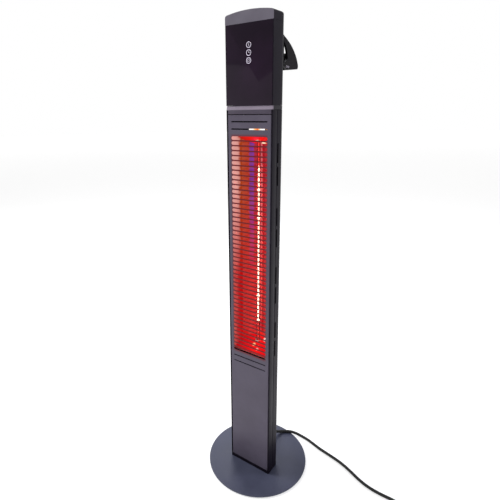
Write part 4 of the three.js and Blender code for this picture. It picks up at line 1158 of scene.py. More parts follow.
@dataclass(frozen=True)
class Base:
    """The round plate, its rubber pads, the plinth and the four bolts from below."""

    rim: float = 0.7
    pads: int = 5
    bolts: int = 4
    bolt_hole: float = 3.25
    bolt_head: float = 5.2
    bolt_thick: float = 2.1
    bolt_shank: float = 2.85
    hex_across: float = 2.3
    hex_depth: float = 1.5

    def build(self) -> None:
        """Makes the plate, the pads, the plinth and the bolts."""
        self.plate()
        self.pad_feet()
        self.plinth()
        self.base_bolts()

    def bolt_spots(self) -> list[tuple[float, float]]:
        """X and Y of each bolt."""
        boxes = [span(f"base_bolt_{i + 1}") for i in range(self.bolts)]
        return [tuple(((low + high) / 2)[:2]) for low, high in boxes]

    def drills(self, low: float, high: float, around: int) -> list[Shape]:
        """Cutters for the bolt holes, a little longer than what they go through.

        Args:
            low: Height of its underside.
            high: Height of its upper side.
            around: Points round each cutter.

        Returns:
            One cutter for each bolt.
        """
        hole = turned([(self.bolt_hole, low - 1), (self.bolt_hole, high + 1)], around)
        return [loft(hole + [x, y, 0.0]) for x, y in self.bolt_spots()]

    def plate(self) -> None:
        """The steel plate, its rim rounded, drilled for the bolts."""
        low, high = span("base_disc")
        profile = eased(low[2], high[2], high[0], self.rim)
        profile = [(40.0, low[2]), (100.0, low[2]), *profile, (100.0, high[2]), (40.0, high[2])]
        shape = loft(turned(profile, 192))
        made = Piece("base_plate", shape, Coat.SLATE_COAT, ("base_disc",), "base_coat", smooth_angle=25).put()
        carve(made, self.drills(low[2], high[2], 32))

    def pad_feet(self) -> None:
        """Round rubber pads, softly rounded where they stand."""
        for i in range(self.pads):
            low, high = span(f"foot_pad_{i + 1}")
            middle = (low + high) / 2
            radius = (high[0] - low[0]) / 2
            profile = [(2.0, 0.25), *eased(0.0, high[2], radius, 0.9), (2.0, high[2])]
            rings = turned(profile, 48) + [middle[0], middle[1], 0.0]
            node = f"foot_pad_{i + 1}"
            Piece(f"rubber_pad_{i + 1}", loft(rings), Coat.RUBBER, (node,), "black_rubber").put()

    def plinth(self) -> None:
        """The dark foot that the column stands on, with a notch that drains it."""
        low, high = span("foot_plinth")
        outline = oblong(low, high, 1.2, 22.0, 12)
        levels = [(low[2], 0.35), (low[2] + 0.35, 0.0), (high[2] - 0.5, 0.0), (high[2], 0.5)]
        shape = loft(raised(outline, levels))
        made = Piece("plinth", shape, Coat.BLACK_COAT, ("foot_plinth",), "black_coat").put()
        pocket = oblong(low + 10, high - 10, 2, 12, 8)
        cutters = [loft(raised(pocket, [(low[2] + 4, 0.0), (high[2] + 1, 0.0)]))]
        notch = oblong((16.5, 4.4), (24.5, 7.0), 1.0, 1.0, 5)
        drain = lying(raised(notch, [(-12.0, 0.0), (1.0, 0.0)]), (0.0, low[1], low[2]), (1, 0, 0), (0, -1, 0))
        cutters.append(loft(drain))
        carve(made, cutters + self.drills(low[2], high[2], 24))

    def base_bolts(self) -> None:
        """Hexagon socket bolts, their heads under the plate."""
        for i in range(self.bolts):
            low, high = span(f"base_bolt_{i + 1}")
            middle = (low + high) / 2
            sizes = (self.bolt_head, self.bolt_thick, self.bolt_shank, high[2] - low[2] - self.bolt_thick)
            points, faces = socket_screw(*sizes, self.hex_across, self.hex_depth)
            points = lying(points, (middle[0], middle[1], low[2]), (1, 0, 0), (0, 0, 1))
            node = f"base_bolt_{i + 1}"
            Piece(f"bolt_{i + 1}", (points, faces), Coat.STAINLESS, (node,), "plain_steel").put()


def socket_screw(
    head: float, thick: float, shank: float, length: float, across: float, deep: float
) -> Shape:
    """A screw with a domed rim and a hexagon socket, its head at the bottom and its shank up +Z.

    The socket's rings change from a circle to a hexagon: at angle a the hexagon's edge is
    across / cos(a from the nearest flat's middle) away.

    Args:
        head: Radius of the head.
        thick: Height of the head.
        shank: Radius of the shank.
        length: Length of the shank.
        across: Half the width of the socket across its flats.
        deep: Depth of the socket.

    Returns:
        The vertices and the faces.
    """
    around = 48
    angles = np.linspace(0, 2 * math.pi, around, endpoint=False)
    hexagon = across / np.cos((angles + math.pi / 6) % (math.pi / 3) - math.pi / 6)
    rings = [
        (hexagon * 0.98, deep), (hexagon, 0.15), (hexagon + 0.2, 0.0),
        (np.full(around, head - 0.8), 0.0), (np.full(around, head - 0.25), 0.2),
        (np.full(around, head), 0.7), (np.full(around, head), thick - 0.15),
        (np.full(around, head - 0.15), thick), (np.full(around, shank), thick),
        (np.full(around, shank), thick + length - 0.5),
        (np.full(around, shank - 0.5), thick + length),
    ]
    points = [
        np.column_stack([radius * np.cos(angles), radius * np.sin(angles), np.full(around, height)])
        for radius, height in rings
    ]
    return loft(np.array(points), Cap.POINT, Cap.FLAT)


# ---- column --------------------------------------------------------------------------------------


@dataclass(frozen=True)
class Column:
    """The side rails, the slotted front, the rear shell with its vents, the band and the screws."""

    sheet: float = 1.2
    corner: float = 22.0
    slot_open: float = 8.6
    slot_pitch: float = 11.9
    slots: int = 49
    slot_half: float = 50.75
    line_open: float = 3.0
    line_pitch: float = 17.0
    top_drop: float = 51.0
    vent_length: float = 47.0
    vent_width: float = 5.0
    vent_pitch: float = 153.5
    vent_gap: float = 7.5

    def build(self) -> None:
        """Makes every piece of the column."""
        self.rails()
        self.front()
        self.shell()
        self.band()
        self.screws()

    @property
    def grille_top(self) -> float:
        """Height of the upper edge of the highest open slot."""
        return span("head_band")[0][2] - self.top_drop

    @property
    def grille_foot(self) -> float:
        """Height of the lower edge of the lowest open slot."""
        return self.grille_top - (self.slots - 1) * self.slot_pitch - self.slot_open

    def rails(self) -> None:
        """Folded side rails: an outer wall, a web inside it and a foot at the rear."""
        for side, node in ((Side.LEFT, "rail_left"), (Side.RIGHT, "rail_right")):
            low, high = span(node)
            half = max(abs(low[0]), abs(high[0]))
            front, rear = low[1], high[1]
            inner = half - 1.6
            corners = [
                (half, front, 0.7), (half, rear, 1.0), (inner - 7, rear, 0.5),
                (inner - 7, rear - 2, 0.5), (inner, rear - 2, 0.8), (inner, front + 11.7, 0.6),
                (inner - 6, front + 11.7, 0.5), (inner - 6, front + 9.7, 0.5),
                (inner, front + 9.7, 0.6), (inner, front, 0.5),
            ]
            outline = rounded(corners, 4)
            if side is Side.LEFT:
                outline = (outline * [-1, 1])[::-1]
            levels = [(low[2], 0.15), (low[2] + 0.2, 0.0), (high[2] - 0.2, 0.0), (high[2], 0.15)]
            shape = loft(raised(outline, levels))
            Piece(f"side_{node}", shape, Coat.BLACK_COAT, (node,), "black_coat").put()

    def front(self) -> None:
        """The slotted sheet, folded back at both sides."""
        low, high = span("front_panel")
        corners = [(low[0], high[1], 0), (low[0], low[1], 1.8), (high[0], low[1], 1.8), (high[0], high[1], 0)]
        line = rounded(corners, 6, is_open=True)
        sheet = FoldedSheet(line, self.sheet, low[2], high[2] - 1.4)
        middle = sheet.lengths[-1] / 2
        heights = [
            (self.grille_top - self.slot_open / 2 - i * self.slot_pitch, self.slot_open)
            for i in range(self.slots)
        ]
        for i in (1, 2):
            heights.append((self.grille_top + i * self.line_pitch, self.line_open))
            heights.append((self.grille_foot - i * self.line_pitch, self.line_open))
        slots = tuple(Slot(middle, z, 2 * self.slot_half, open_) for z, open_ in heights)
        edge = self.slot_half + 1.0
        left = tuple(length for length in sheet.lengths if length < middle - edge - 0.5)
        right = tuple(length for length in sheet.lengths if length > middle + edge + 0.5)
        bands = [
            Band((*left, middle - edge)),
            Band((middle - edge, middle + edge), slots),
            Band((middle + edge, *right)),
        ]
        Piece(
            "slotted_front",
            sheet.mesh(bands),
            Coat.LIT_GRAPHITE,
            ("front_panel",),
            "graphite_coat",
            bevel=0.28,
            bevel_angle=50,
        ).put()

    def shell(self) -> None:
        """The rear shell: sheet bent round the back, with vents in both sides and lips at its edges."""
        low, high = span("rear_shell")
        lip = high[0] - 8.6
        corners = [
            (lip, low[1], 0), (high[0], low[1], 1.8), (high[0], high[1], self.corner),
            (low[0], high[1], self.corner), (low[0], low[1], 1.8), (-lip, low[1], 0),
        ]
        line = rounded(corners, 16, is_open=True)
        sheet = FoldedSheet(line, self.sheet, low[2], high[2], 3)
        lengths = sheet.lengths
        total = lengths[-1]
        vent_at = high[0] - lip + 5.0 - 1.8 * (2 - math.pi / 2)
        vents = []
        for pair in range(4):
            for half in (0, 1):
                step = half * (self.vent_length + self.vent_gap)
                base = self.grille_foot + 3.5 + pair * self.vent_pitch + step
                vents.append(base + self.vent_length / 2)
        width = self.vent_width / 2 + 0.35
        right = tuple(Slot(vent_at, z, self.vent_length, self.vent_width, True) for z in vents)
        left = tuple(Slot(total - vent_at, z, self.vent_length, self.vent_width, True) for z in vents)
        inner = [s for s in lengths if vent_at + width + 0.3 < s < total - vent_at - width - 0.3]
        bands = [
            Band((*[s for s in lengths if s < vent_at - width - 0.3], vent_at - width)),
            Band((vent_at - width, vent_at + width), right),
            Band((vent_at + width, *inner, total - vent_at - width)),
            Band((total - vent_at - width, total - vent_at + width), left),
            Band((total - vent_at + width, *[s for s in lengths if s > total - vent_at + width + 0.3])),
        ]
        made = Piece(
            "rear_cover",
            sheet.mesh(bands),
            Coat.BLACK_COAT,
            ("rear_shell",),
            "black_coat",
            bevel=0.25,
            bevel_angle=50,
        ).put()
        rocker_low, rocker_high = span("switch_body")
        z = (rocker_low[2] + rocker_high[2]) / 2
        mouth = block((-8.8, 0, z - 13.3), (8.8, high[1] + 2, z + 13.3))
        gland = span("gland_body")
        gland_z = (gland[0][2] + gland[1][2]) / 2
        hole = loft(lying(turned([(8.0, -10), (8.0, 20)], 40), (0, high[1], gland_z), (1, 0, 0), (0, -1, 0)))
        carve(made, [mouth, hole])

    def band(self) -> None:
        """The collar between the column and the head, paler in front as painted light, and its skirt in
        front, darker as painted shade.

        The collar's front leans back a little as it rises.
        """
        low, high = span("head_band")
        tall, lean, skirt_half = 9.0, 2.0, 60.1
        skirt_top = high[2] - tall
        half = high[0]
        rows = []
        for z, inset in ((skirt_top, 0.3), (skirt_top + 0.3, 0.0), (high[2] - 0.5, 0.0), (high[2], 0.4)):
            front = low[1] + 0.15 + lean * ((z - skirt_top) / tall) ** 1.5 + inset
            near, far = (-half + inset, front), (half - inset, high[1] - inset)
            outline = oblong(near, far, 1.0, self.corner, 14)
            rows.append(np.column_stack([outline, np.full(len(outline), z)]))
        # the collar's paint is paler in front as painted light and darker behind as painted shade
        made = Piece("collar", loft(np.array(rows)), Coat.COLLAR_PAINT, ("head_band",), "graphite_coat").put()
        inside = oblong((8 - half, low[1] + 9), (half - 8, high[1] - 8), 2, 14, 8)
        carve(made, [loft(raised(inside, [(low[2], 0.0), (high[2] + 1, 0.0)]))])
        outline = oblong((-skirt_half, low[1] + 0.3), (skirt_half, low[1] + 9.0), 1.0, 0.4, 4)
        levels = [(low[2], 0.5), (low[2] + 0.4, 0.0), (skirt_top - 0.2, 0.0), (skirt_top, 0.1)]
        skirt = loft(raised(outline, levels))
        # the skirt takes the graphite paint darkened as painted shade
        Piece("collar_skirt", skirt, Coat.DARK_GRAPHITE, (), "graphite_coat").put()
        reach = half - 1.9
        rear = high[1] - 1.9
        corners = [(reach, -17, 0), (reach, rear, 20.1), (-reach, rear, 20.1), (-reach, -17, 0)]
        line = rounded(corners, 16, is_open=True)
        spigot = FoldedSheet(line, 0.8, skirt_top - 5, skirt_top + 0.1)
        shape = spigot.mesh([Band(tuple(spigot.lengths))])
        Piece("collar_spigot", shape, Coat.BLACK_COAT, (), "black_coat").put()

    def screws(self) -> None:
        """Pan-head screws that hold the rear shell."""
        for i in range(4):
            node = f"shell_screw_{i + 1}"
            low, high = span(node)
            middle = (low + high) / 2
            vertices, faces = socket_screw(3.9, 1.9, 1.7, high[1] - low[1] - 1.9, 1.25, 1.1)
            points = lying(vertices, (middle[0], high[1], middle[2]), (1, 0, 0), (0, -1, 0))
            Piece(f"cover_screw_{i + 1}", (points, faces), Coat.STAINLESS, (node,), "plain_steel").put()


# ---- head ----------------------------------------------------------------------------------------


@dataclass(frozen=True)
class Head:
    """The housing, the touch glass with its marks, and the arched cap."""

    bezel: float = 1.6
    wall: float = 2.5
    corner: float = 22.0
    cap_round: float = 4.5
    rise: float = 6.5
    mark_pitch: float = 16.6
    first_mark: float = 45.5
    mark_radius: float = 6.0
    line: float = 0.36
    thin_line: float = 0.24

    def build(self) -> None:
        """Makes every piece of the head."""
        self.housing()
        self.glass()
        self.marks()
        self.cap()

    def housing(self) -> None:
        """A sheet folded round three sides, with a thin bezel and a ledge for the glass."""
        low, high = span("head_housing")
        front, back = low[1], high[1]
        half = high[0]
        ledge = front + 4.3
        inner = half - self.wall
        right = [
            (half, front, 0.6), (half, back, self.corner),
        ]
        left = [(-x, y, r) for x, y, r in reversed(right)]
        within_left = [
            (-half + self.bezel, front, 0.5), (-half + self.bezel, ledge, 0.0), (-half + 7, ledge, 0.3),
            (-half + 7, ledge + self.wall, 0.3), (-inner, ledge + self.wall, 0.0),
            (-inner, back - self.wall, self.corner - self.wall),
        ]
        within_right = [(-x, y, r) for x, y, r in reversed(within_left)]
        outline = rounded([*right, *left, *within_left, *within_right], 14)
        levels = [(low[2], 0.12), (low[2] + 0.15, 0.0), (high[2] - 0.15, 0.0), (high[2], 0.12)]
        shape = loft(raised(outline, levels))
        Piece("housing", shape, Coat.BLACK_COAT, ("head_housing",), "black_coat").put()

    def glass(self) -> None:
        """The touch glass, its edges ground."""
        low, high = span("glass_panel")
        outline = oblong(low[::2], high[::2], 0.8, 0.8, 4)
        deep = high[1] - low[1]
        rings = raised(outline, [(0.0, 0.2), (0.3, 0.0), (deep - 0.35, 0.0), (deep - 0.1, 0.15), (deep, 0.4)])
        points = lying(rings, (0, high[1], 0), (1, 0, 0), (0, -1, 0))
        Piece("touch_glass", loft(points), Coat.DARK_GLASS, ("glass_panel",), "dark_glass").put()

    def stroke(self, points: Array, z: float, y: float, radius: float) -> Shape:
        """A printed line on the glass.

        Args:
            points: The line, as x and z about the mark's middle.
            z: Height of the mark's middle.
            y: Y of the glass.
            radius: Half the line's width.

        Returns:
            A closed shape, flat against the glass.
        """
        path = np.column_stack([points[:, 0], np.zeros(len(points)), points[:, 1] + z])
        rings = tube(path, radius, 8) * [1, 0.12, 1] + [0, y, 0]
        return loft(rings)

    def marks(self) -> None:
        """Three ringed touch marks: heat, clock and power."""
        low, high = span("glass_panel")
        top = high[2] + 0.3 - self.first_mark
        full = arc(0, 360, 48)
        ring = self.mark_radius * np.stack([np.cos(full), np.sin(full)], axis=1)
        heights = [top - i * self.mark_pitch for i in range(3)]
        parts = [self.stroke(ring, z, low[1], self.line) for z in heights]
        t = np.linspace(0, 1, 24)
        flame = np.stack([0.9 * np.sin(2 * math.pi * t), 3.2 * (2 * t - 1)], axis=1)
        hands = np.array([[0.0, 3.4], [0.0, 2.0], [0.0, 0.0], [1.2, -0.3], [2.6, -0.6]])
        bow = arc(130, 410, 32)
        power = 2.9 * np.stack([np.cos(bow), np.sin(bow)], axis=1)
        bar = np.array([[0.0, 3.8], [0.0, 2.2], [0.0, 0.6]])
        inner = [(flame, heights[0]), (hands, heights[1]), (power, heights[2]), (bar, heights[2])]
        parts += [self.stroke(line, z, low[1], self.thin_line) for line, z in inner]
        Piece("touch_marks", merged(parts), Coat.LIT_MARK, (), "dark_glass").put()

    def cap(self) -> None:
        """The arched cap: rounded at its sides and back, crisp in front.

        The top is an arc in front view: z(x) = crown - (R - sqrt(R^2 - x^2)). Front points and back
        points share their X, so the top is closed by a strip of four-sided faces.
        """
        low, high = span("top_cap")
        half, front, back = high[0], low[1], high[1]
        centre = half - self.corner
        turn = arc(0, 90, 12)
        corner_x = centre + self.corner * np.cos(turn)
        corner_y = back - self.corner + self.corner * np.sin(turn)
        flat_x = np.linspace(centre, -centre, 22)[1:-1]
        xs = np.concatenate([corner_x, flat_x, -corner_x[::-1]])
        ys = np.concatenate([corner_y, np.full(20, back), corner_y[::-1]])
        normal_x = np.concatenate([-np.cos(turn), np.zeros(20), np.cos(turn[::-1])])
        normal_y = np.concatenate([-np.sin(turn), -np.ones(20), -np.sin(turn[::-1])])
        count = len(xs)
        plan_x = np.concatenate([xs[::-1], xs])
        plan_y = np.concatenate([np.full(count, front), ys])
        inward_x = np.concatenate([-xs[::-1] / half, normal_x])
        inward_y = np.concatenate([np.zeros(count), normal_y])
        radius = (half**2 + self.rise**2) / (2 * self.rise)
        crown = high[2]
        r = self.cap_round
        rings = []
        edge = [(r - r * math.cos(a), r - r * math.sin(a)) for a in arc(0, 90, 7)]
        for inset, drop in [(0.0, None), *edge]:
            x = plan_x + inward_x * inset
            y = plan_y + inward_y * inset
            top = crown - (radius - np.sqrt(radius**2 - x**2))
            z = np.full(len(x), low[2]) if drop is None else top - drop
            rings.append(np.column_stack([x, y, z]))
        vertices, faces = loft(np.array(rings), Cap.FLAT, Cap.RING)
        faces = [face for face in faces if len(face) != 4 or max(face) - min(face) < 4 * count]
        base = (len(rings) - 1) * 2 * count
        k = np.arange(count - 1)
        strip = np.stack([base + k, base + k + 1, base + 2 * count - 2 - k, base + 2 * count - 1 - k], axis=1)
        faces.extend(strip.tolist())
        made = Piece(
            "cap", (vertices, faces), Coat.BLACK_COAT, ("top_cap",), "cap_coat", bevel=0.35, bevel_angle=55
        ).put()
        made.data.materials.append(Coat.CAP_PAINT.material())
        ahead = np.array([polygon.normal.y < -0.99 for polygon in made.data.polygons])
        made.data.polygons.foreach_set("material_index", ahead.astype(np.int32))


def curve(start: Pair, pull: Pair, end: Pair, steps: int) -> list[Pair]:
    """A quadratic Bezier curve.

    Args:
        start: Its first point.
        pull: Its control point.
        end: Its last point.
        steps: How many steps it is drawn with.

    Returns:
        The points after the first.
    """
    t = np.linspace(0, 1, steps + 1)[1:, None]
    points = (1 - t) ** 2 * np.array(start) + 2 * t * (1 - t) * np.array(pull) + t**2 * np.array(end)
    return [tuple(point) for point in points]


@dataclass(frozen=True)
class Handle:
    """The carrying handle: two windowed wings, a saddle on the back wall and a grip between them."""

    cheek: float = 5.0
    saddle: float = 3.0
    grip_top: float = 40.0
    grip_reach: float = 22.0
    corner: float = 22.0
    ease: float = 1.3

    def plan(self, inset: float, half: float, front: float, back: float) -> Array:
        """The head seen from above, smaller all round by an inset.

        Args:
            inset: How much smaller.
            half: Half the head's width.
            front: Y of its front.
            back: Y of its back.

        Returns:
            The outline.
        """
        half, rear, radius = half - inset, back - inset, self.corner - inset
        corners = [(half, front, 0.0), (half, rear, radius), (-half, rear, radius), (-half, front, 0.0)]
        return rounded(corners, 20)

    def build(self) -> None:
        """Makes the handle and the painted highlights at its wing roots."""
        low, high = span("carry_handle")
        wide, back = span("head_housing")[1][:2]
        top, foot = high[2], low[2]
        side = [(back - 16, top)]
        side += curve((back - 14, top), (back + 50, foot + 53), (back + 65.5, foot + 14), 26)
        side += curve((back + 65.5, foot + 14), (back + 67, foot + 6), (back + 61, foot + 4.5), 8)
        side += [(back + 12, foot), (back - 14, foot + 13), (back - 16, foot + 13)]
        body = self.across(np.array(side), high[0])
        grip = self.grip_reach
        hollow = rounded(
            [
                (back - 30, foot - 4, 0), (back + 60.6 - grip, foot - 4, 0),
                (back + 65 - grip, foot + 12, 6), (back + 54 - grip, foot + self.grip_top, 9),
                (back + 72, foot + self.grip_top + 3, 0), (back + 72, top + 4, 0),
                (back - 30, top + 4, 0),
            ],
            8,
        )
        pane = [(back - 7, foot + 62)]
        pane += curve((back - 7, foot + 62), (back + 11, foot + 49), (back + 14, foot + 25), 12)
        sill = [(back - 2, foot + 12.5, 3.0), (back - 7, foot + 12.5, 1.0)]
        window = rounded([*[(y, z, 0.0) for y, z in pane], *sill], 5)
        made = Piece(
            *("handle", body, Coat.PLASTIC, ("carry_handle",), "black_plastic"),
            bevel=self.ease,
            bevel_angle=38,
            bevel_steps=3,
        ).put()
        outer = self.plan(-self.saddle - 0.3, wide, back - 9, back)
        outer[:, 0] = np.clip(outer[:, 0], 0.2 - high[0], high[0] - 0.2)
        keep = np.linalg.norm(outer - np.roll(outer, 1, axis=0), axis=1) > 0.01
        saddle = loft(raised(outer[keep], [(foot + 8, 0.0), (top - 2, 0.0)], np.zeros((int(keep.sum()), 2))))
        inner = self.plan(-0.35, wide, back - 60, back)
        carve(made, [self.across(hollow, high[0] - self.cheek)])
        carve(made, [self.across(window, 200.0)])
        carve(made, [saddle], "UNION")
        carve(made, [loft(raised(inner, [(0, 0.0), (top + 90, 0.0)]))])
        self.marks(back, foot, high[0])

    def across(self, side: Array, half: float) -> Shape:
        """A side outline carried across the handle.

        Args:
            side: Points of y and z.
            half: Half the width to carry it.

        Returns:
            The vertices and the faces.
        """
        area = np.sum(side[:, 0] * np.roll(side[:, 1], -1) - np.roll(side[:, 0], -1) * side[:, 1])
        ordered = side if area > 0 else side[::-1]
        rings = np.array([np.column_stack([np.full(len(ordered), x), ordered]) for x in (-half, half)])
        return loft(rings)

    def marks(self, back: float, foot: float, half: float) -> None:
        """Short pale lines at the root of each wing: painted highlights where light catches the wing roots.

        Args:
            back: Y of the head's back wall.
            foot: Height of the handle's lowest point.
            half: Half the handle's width.
        """
        parts = []
        for side in Side:
            for i in range(4):
                y, z = back + 6.0 + 4.2 * i, foot + 5.6 - 0.25 * i
                x = side.value * half
                path = np.array([[x, y, z], [x, y + 1.6, z + 2.2], [x, y + 3.0, z + 4.4]])
                rings = tube(path, 0.45, 8)
                rings[:, :, 0] = x + (rings[:, :, 0] - x) * 0.1
                parts.append(loft(rings))
        # pale lines painted as highlights at the wing roots
        Piece("handle_painted_highlights", merged(parts), Coat.INK, (), "black_plastic").put()


# ---- heating zone --------------------------------------------------------------------------------


@dataclass(frozen=True)
class Lamp:
    """The ruby tube with its coiled filament, the ribbed holders and the polished trough."""

    y: float = 2.0
    outer: float = 5.5
    bore: float = 4.3
    coil_radius: float = 1.5
    wire: float = 0.42
    coil_pitch: float = 1.5
    hot_low: float = 458.0
    hot_high: float = 881.0
    support_pitch: float = 72.5
    support_radius: float = 3.6
    support_wire: float = 0.5
    lead_wire: float = 0.9
    fold: float = 3.0

    def build(self) -> None:
        """Makes the tube, the filament, the holders and the trough."""
        self.tube()
        self.filament()
        self.holders()
        self.trough()

    def tube(self) -> None:
        """The quartz tube, its two ends fused round."""
        low, high = span("lamp_tube")
        profile = [
            (self.bore, low[2]),
            *eased(low[2], high[2], self.outer, 0.5, 3),
            (self.bore, high[2]),
        ]
        rings = turned([*profile[1:-1], (self.bore, high[2]), (self.bore, low[2])], 48) + [0, self.y, 0]
        Piece("quartz_tube", loft(rings, Cap.RING, Cap.RING), Coat.RUBY, ("lamp_tube",), "ruby_quartz").put()

    def filament(self) -> None:
        """A helix of hot wire with rings that keep it in the middle, and straight leads at its ends."""
        low, high = span("lamp_filament")
        turns = (self.hot_high - self.hot_low) / self.coil_pitch
        t = np.linspace(0, 1, int(turns * 9))
        angle = t * turns * 2 * math.pi
        path = np.column_stack(
            [
                self.coil_radius * np.cos(angle),
                self.y + self.coil_radius * np.sin(angle),
                self.hot_low + t * (self.hot_high - self.hot_low),
            ]
        )
        parts = [loft(tube(path, self.wire, 6))]
        around = arc(0, 360, 28)
        for z in np.arange(self.hot_low, self.hot_high + 1, self.support_pitch):
            x, y = self.support_radius * np.cos(around), self.y + self.support_radius * np.sin(around)
            ring = np.column_stack([x, y, np.full(len(around), z)])
            parts.append(loft(tube(ring, self.support_wire, 8)))
        Piece("filament", merged(parts), Coat.TUNGSTEN, ("lamp_filament",), "glowing_filament").put()
        leads = []
        for start, end in ((low[2] + 1, self.hot_low - 0.5), (self.hot_high + 0.5, high[2] - 1)):
            line = np.array([[0, self.y, z] for z in np.linspace(start, end, 4)])
            leads.append(loft(tube(line, self.lead_wire, 10)))
        Piece("filament_leads", merged(leads), Coat.HOT_LEAD, (), "glowing_filament").put()

    def holders(self) -> None:
        """Ribbed ceramic holders with a socket for the tube."""
        for node, up in (("lamp_holder_top", 1), ("lamp_holder_bottom", -1)):
            low, high = span(node)
            length = high[2] - low[2]
            profile = [(0.6, 8.3), (5.6, 8.3), (5.8, 8.0), (5.8, 0.4)]
            profile += [(6.1, 0.0), (7.4, 0.0), (8.0, 0.6), (8.0, 4.4)]
            for z in np.arange(5.0, length - 4.0, 3.4):
                profile += [(7.9, z), (7.1, z + 0.5), (7.1, z + 1.5), (7.9, z + 2.0)]
            profile += [(8.0, length - 2.4), (8.0, length - 0.6), (7.4, length), (1.0, length)]
            start = low[2] if up > 0 else high[2]
            points = lying(turned(profile, 48), (0, self.y, start), (1, 0, 0), (0, 0, up))
            Piece(f"ceramic_{node}", loft(points), Coat.CERAMIC, (node,), "white_ceramic").put()
        self.clip()

    def clip(self) -> None:
        """The spring clip across the top holder, between two flat ears."""
        bracket = span("bracket_top")[0][2] + 1.5
        line = np.array([(-29.0, 0.0), (-12.0, 0.0), (-9.0, 0.0), (9.0, 0.0), (12.0, 0.0), (22.0, 0.0)])
        line = line + [0.0, self.y - 9.2]
        sheet = FoldedSheet(line, 0.5, bracket + 0.2, bracket + 7.5)
        shape = sheet.mesh([Band(tuple(sheet.lengths))])
        Piece("lamp_clip", shape, Coat.LIT_CLIP, (), "plain_steel").put()

    def trough(self) -> None:
        """The polished trough behind the lamp, folded from one sheet."""
        low, high = span("reflector")
        mouth, front, back = high[0] - 0.3, low[1], high[1] - 0.3
        half = [
            (mouth, front, 0), (mouth - 4, front + 16, self.fold), (mouth - 11, front + 31, self.fold),
            (mouth - 22, back - 7, self.fold), (mouth - 37, back, self.fold),
        ]
        corners = [*half, *[(-x, y, r) for x, y, r in reversed(half)]]
        line = rounded(corners, 4, is_open=True)
        sheet = FoldedSheet(line, 0.6, low[2], high[2])
        shape = sheet.mesh([Band(tuple(sheet.lengths))])
        made = Piece(
            "mirror_trough", shape, Coat.BRIGHT_ALUMINIUM, ("reflector",), "mirror_aluminium", smooth_angle=20
        ).put()
        self.plain_backs(made)

    def plain_backs(self, made: bpy.types.Object) -> None:
        """Gives plain aluminium to the faces that look away from the lamp.

        Args:
            made: The trough, a folded sheet.
        """
        mesh = made.data
        count = len(mesh.polygons)
        middles, normals = np.empty(count * 3), np.empty(count * 3)
        mesh.polygons.foreach_get("center", middles)
        mesh.polygons.foreach_get("normal", normals)
        inward = np.array([0.0, 2.0 * MM]) - middles.reshape(-1, 3)[:, :2]
        faces_lamp = (inward * normals.reshape(-1, 3)[:, :2]).sum(axis=1) > 0
        mesh.materials.append(Coat.MILL_ALUMINIUM.material())
        mesh.polygons.foreach_set("material_index", np.where(faces_lamp, 0, 1).astype(np.int32))


# ---- service parts -------------------------------------------------------------------------------


@dataclass(frozen=True)
class Switch:
    """The rocker switch low on the back."""

    lip_x: float = 10.5
    lip_z: float = 15.0
    lip: float = 2.0
    well_x: float = 6.8
    well_z: float = 11.8
    lean: float = 8.0

    def build(self) -> None:
        """Makes the switch's body and its rocker."""
        low, high = span("switch_body")
        z = (low[2] + high[2]) / 2
        face = high[1]
        lip = oblong((-self.lip_x, -self.lip_z), (self.lip_x, self.lip_z), 1.5, 1.5, 6)
        levels = [(0.0, 0.1), (0.2, 0.0), (self.lip - 0.7, 0.0), (self.lip - 0.2, 0.25), (self.lip, 0.8)]
        rings = raised(lip, levels)
        shape = loft(lying(rings, (0, face - self.lip, z), (1, 0, 0), (0, 1, 0)))
        made = Piece("switch_frame", shape, Coat.PLASTIC, ("switch_body",), "black_plastic").put()
        carve(made, [block((-8.5, low[1], z - 13), (8.5, face - 1, z + 13))], "UNION")
        corners = (-self.well_x, face - 12, z - self.well_z), (self.well_x, face + 2, z + self.well_z)
        carve(made, [block(*corners)])
        self.rocker(z)

    def rocker(self, z: float) -> None:
        """The rocker: two shallow dished halves that meet in the middle, leaning as it rests.

        Args:
            z: Height of its pivot.
        """
        y = 13.5
        t = np.linspace(-1, 1, 25)
        face = np.stack([5.0 + 1.2 * t**2, 10.4 * t], axis=1)
        rear = np.array([[0.0, 9.0], [-3.5, 6.0], [-3.5, -6.0], [0.0, -9.0]])
        side = np.concatenate([face, rear])
        turn = math.radians(self.lean)
        turned_y = side[:, 0] * math.cos(turn) - side[:, 1] * math.sin(turn)
        turned_z = side[:, 0] * math.sin(turn) + side[:, 1] * math.cos(turn)
        ends = [np.full(len(side), x) for x in (-6.4, 6.4)]
        shape = loft(np.array([np.column_stack([x, turned_y + y, turned_z + z]) for x in ends]))
        Piece(
            *("rocker_key", shape, Coat.GLOSS_PLASTIC, ("switch_rocker",), "black_plastic"),
            body="rocker",
            bevel=0.5,
            bevel_angle=40,
        ).put()


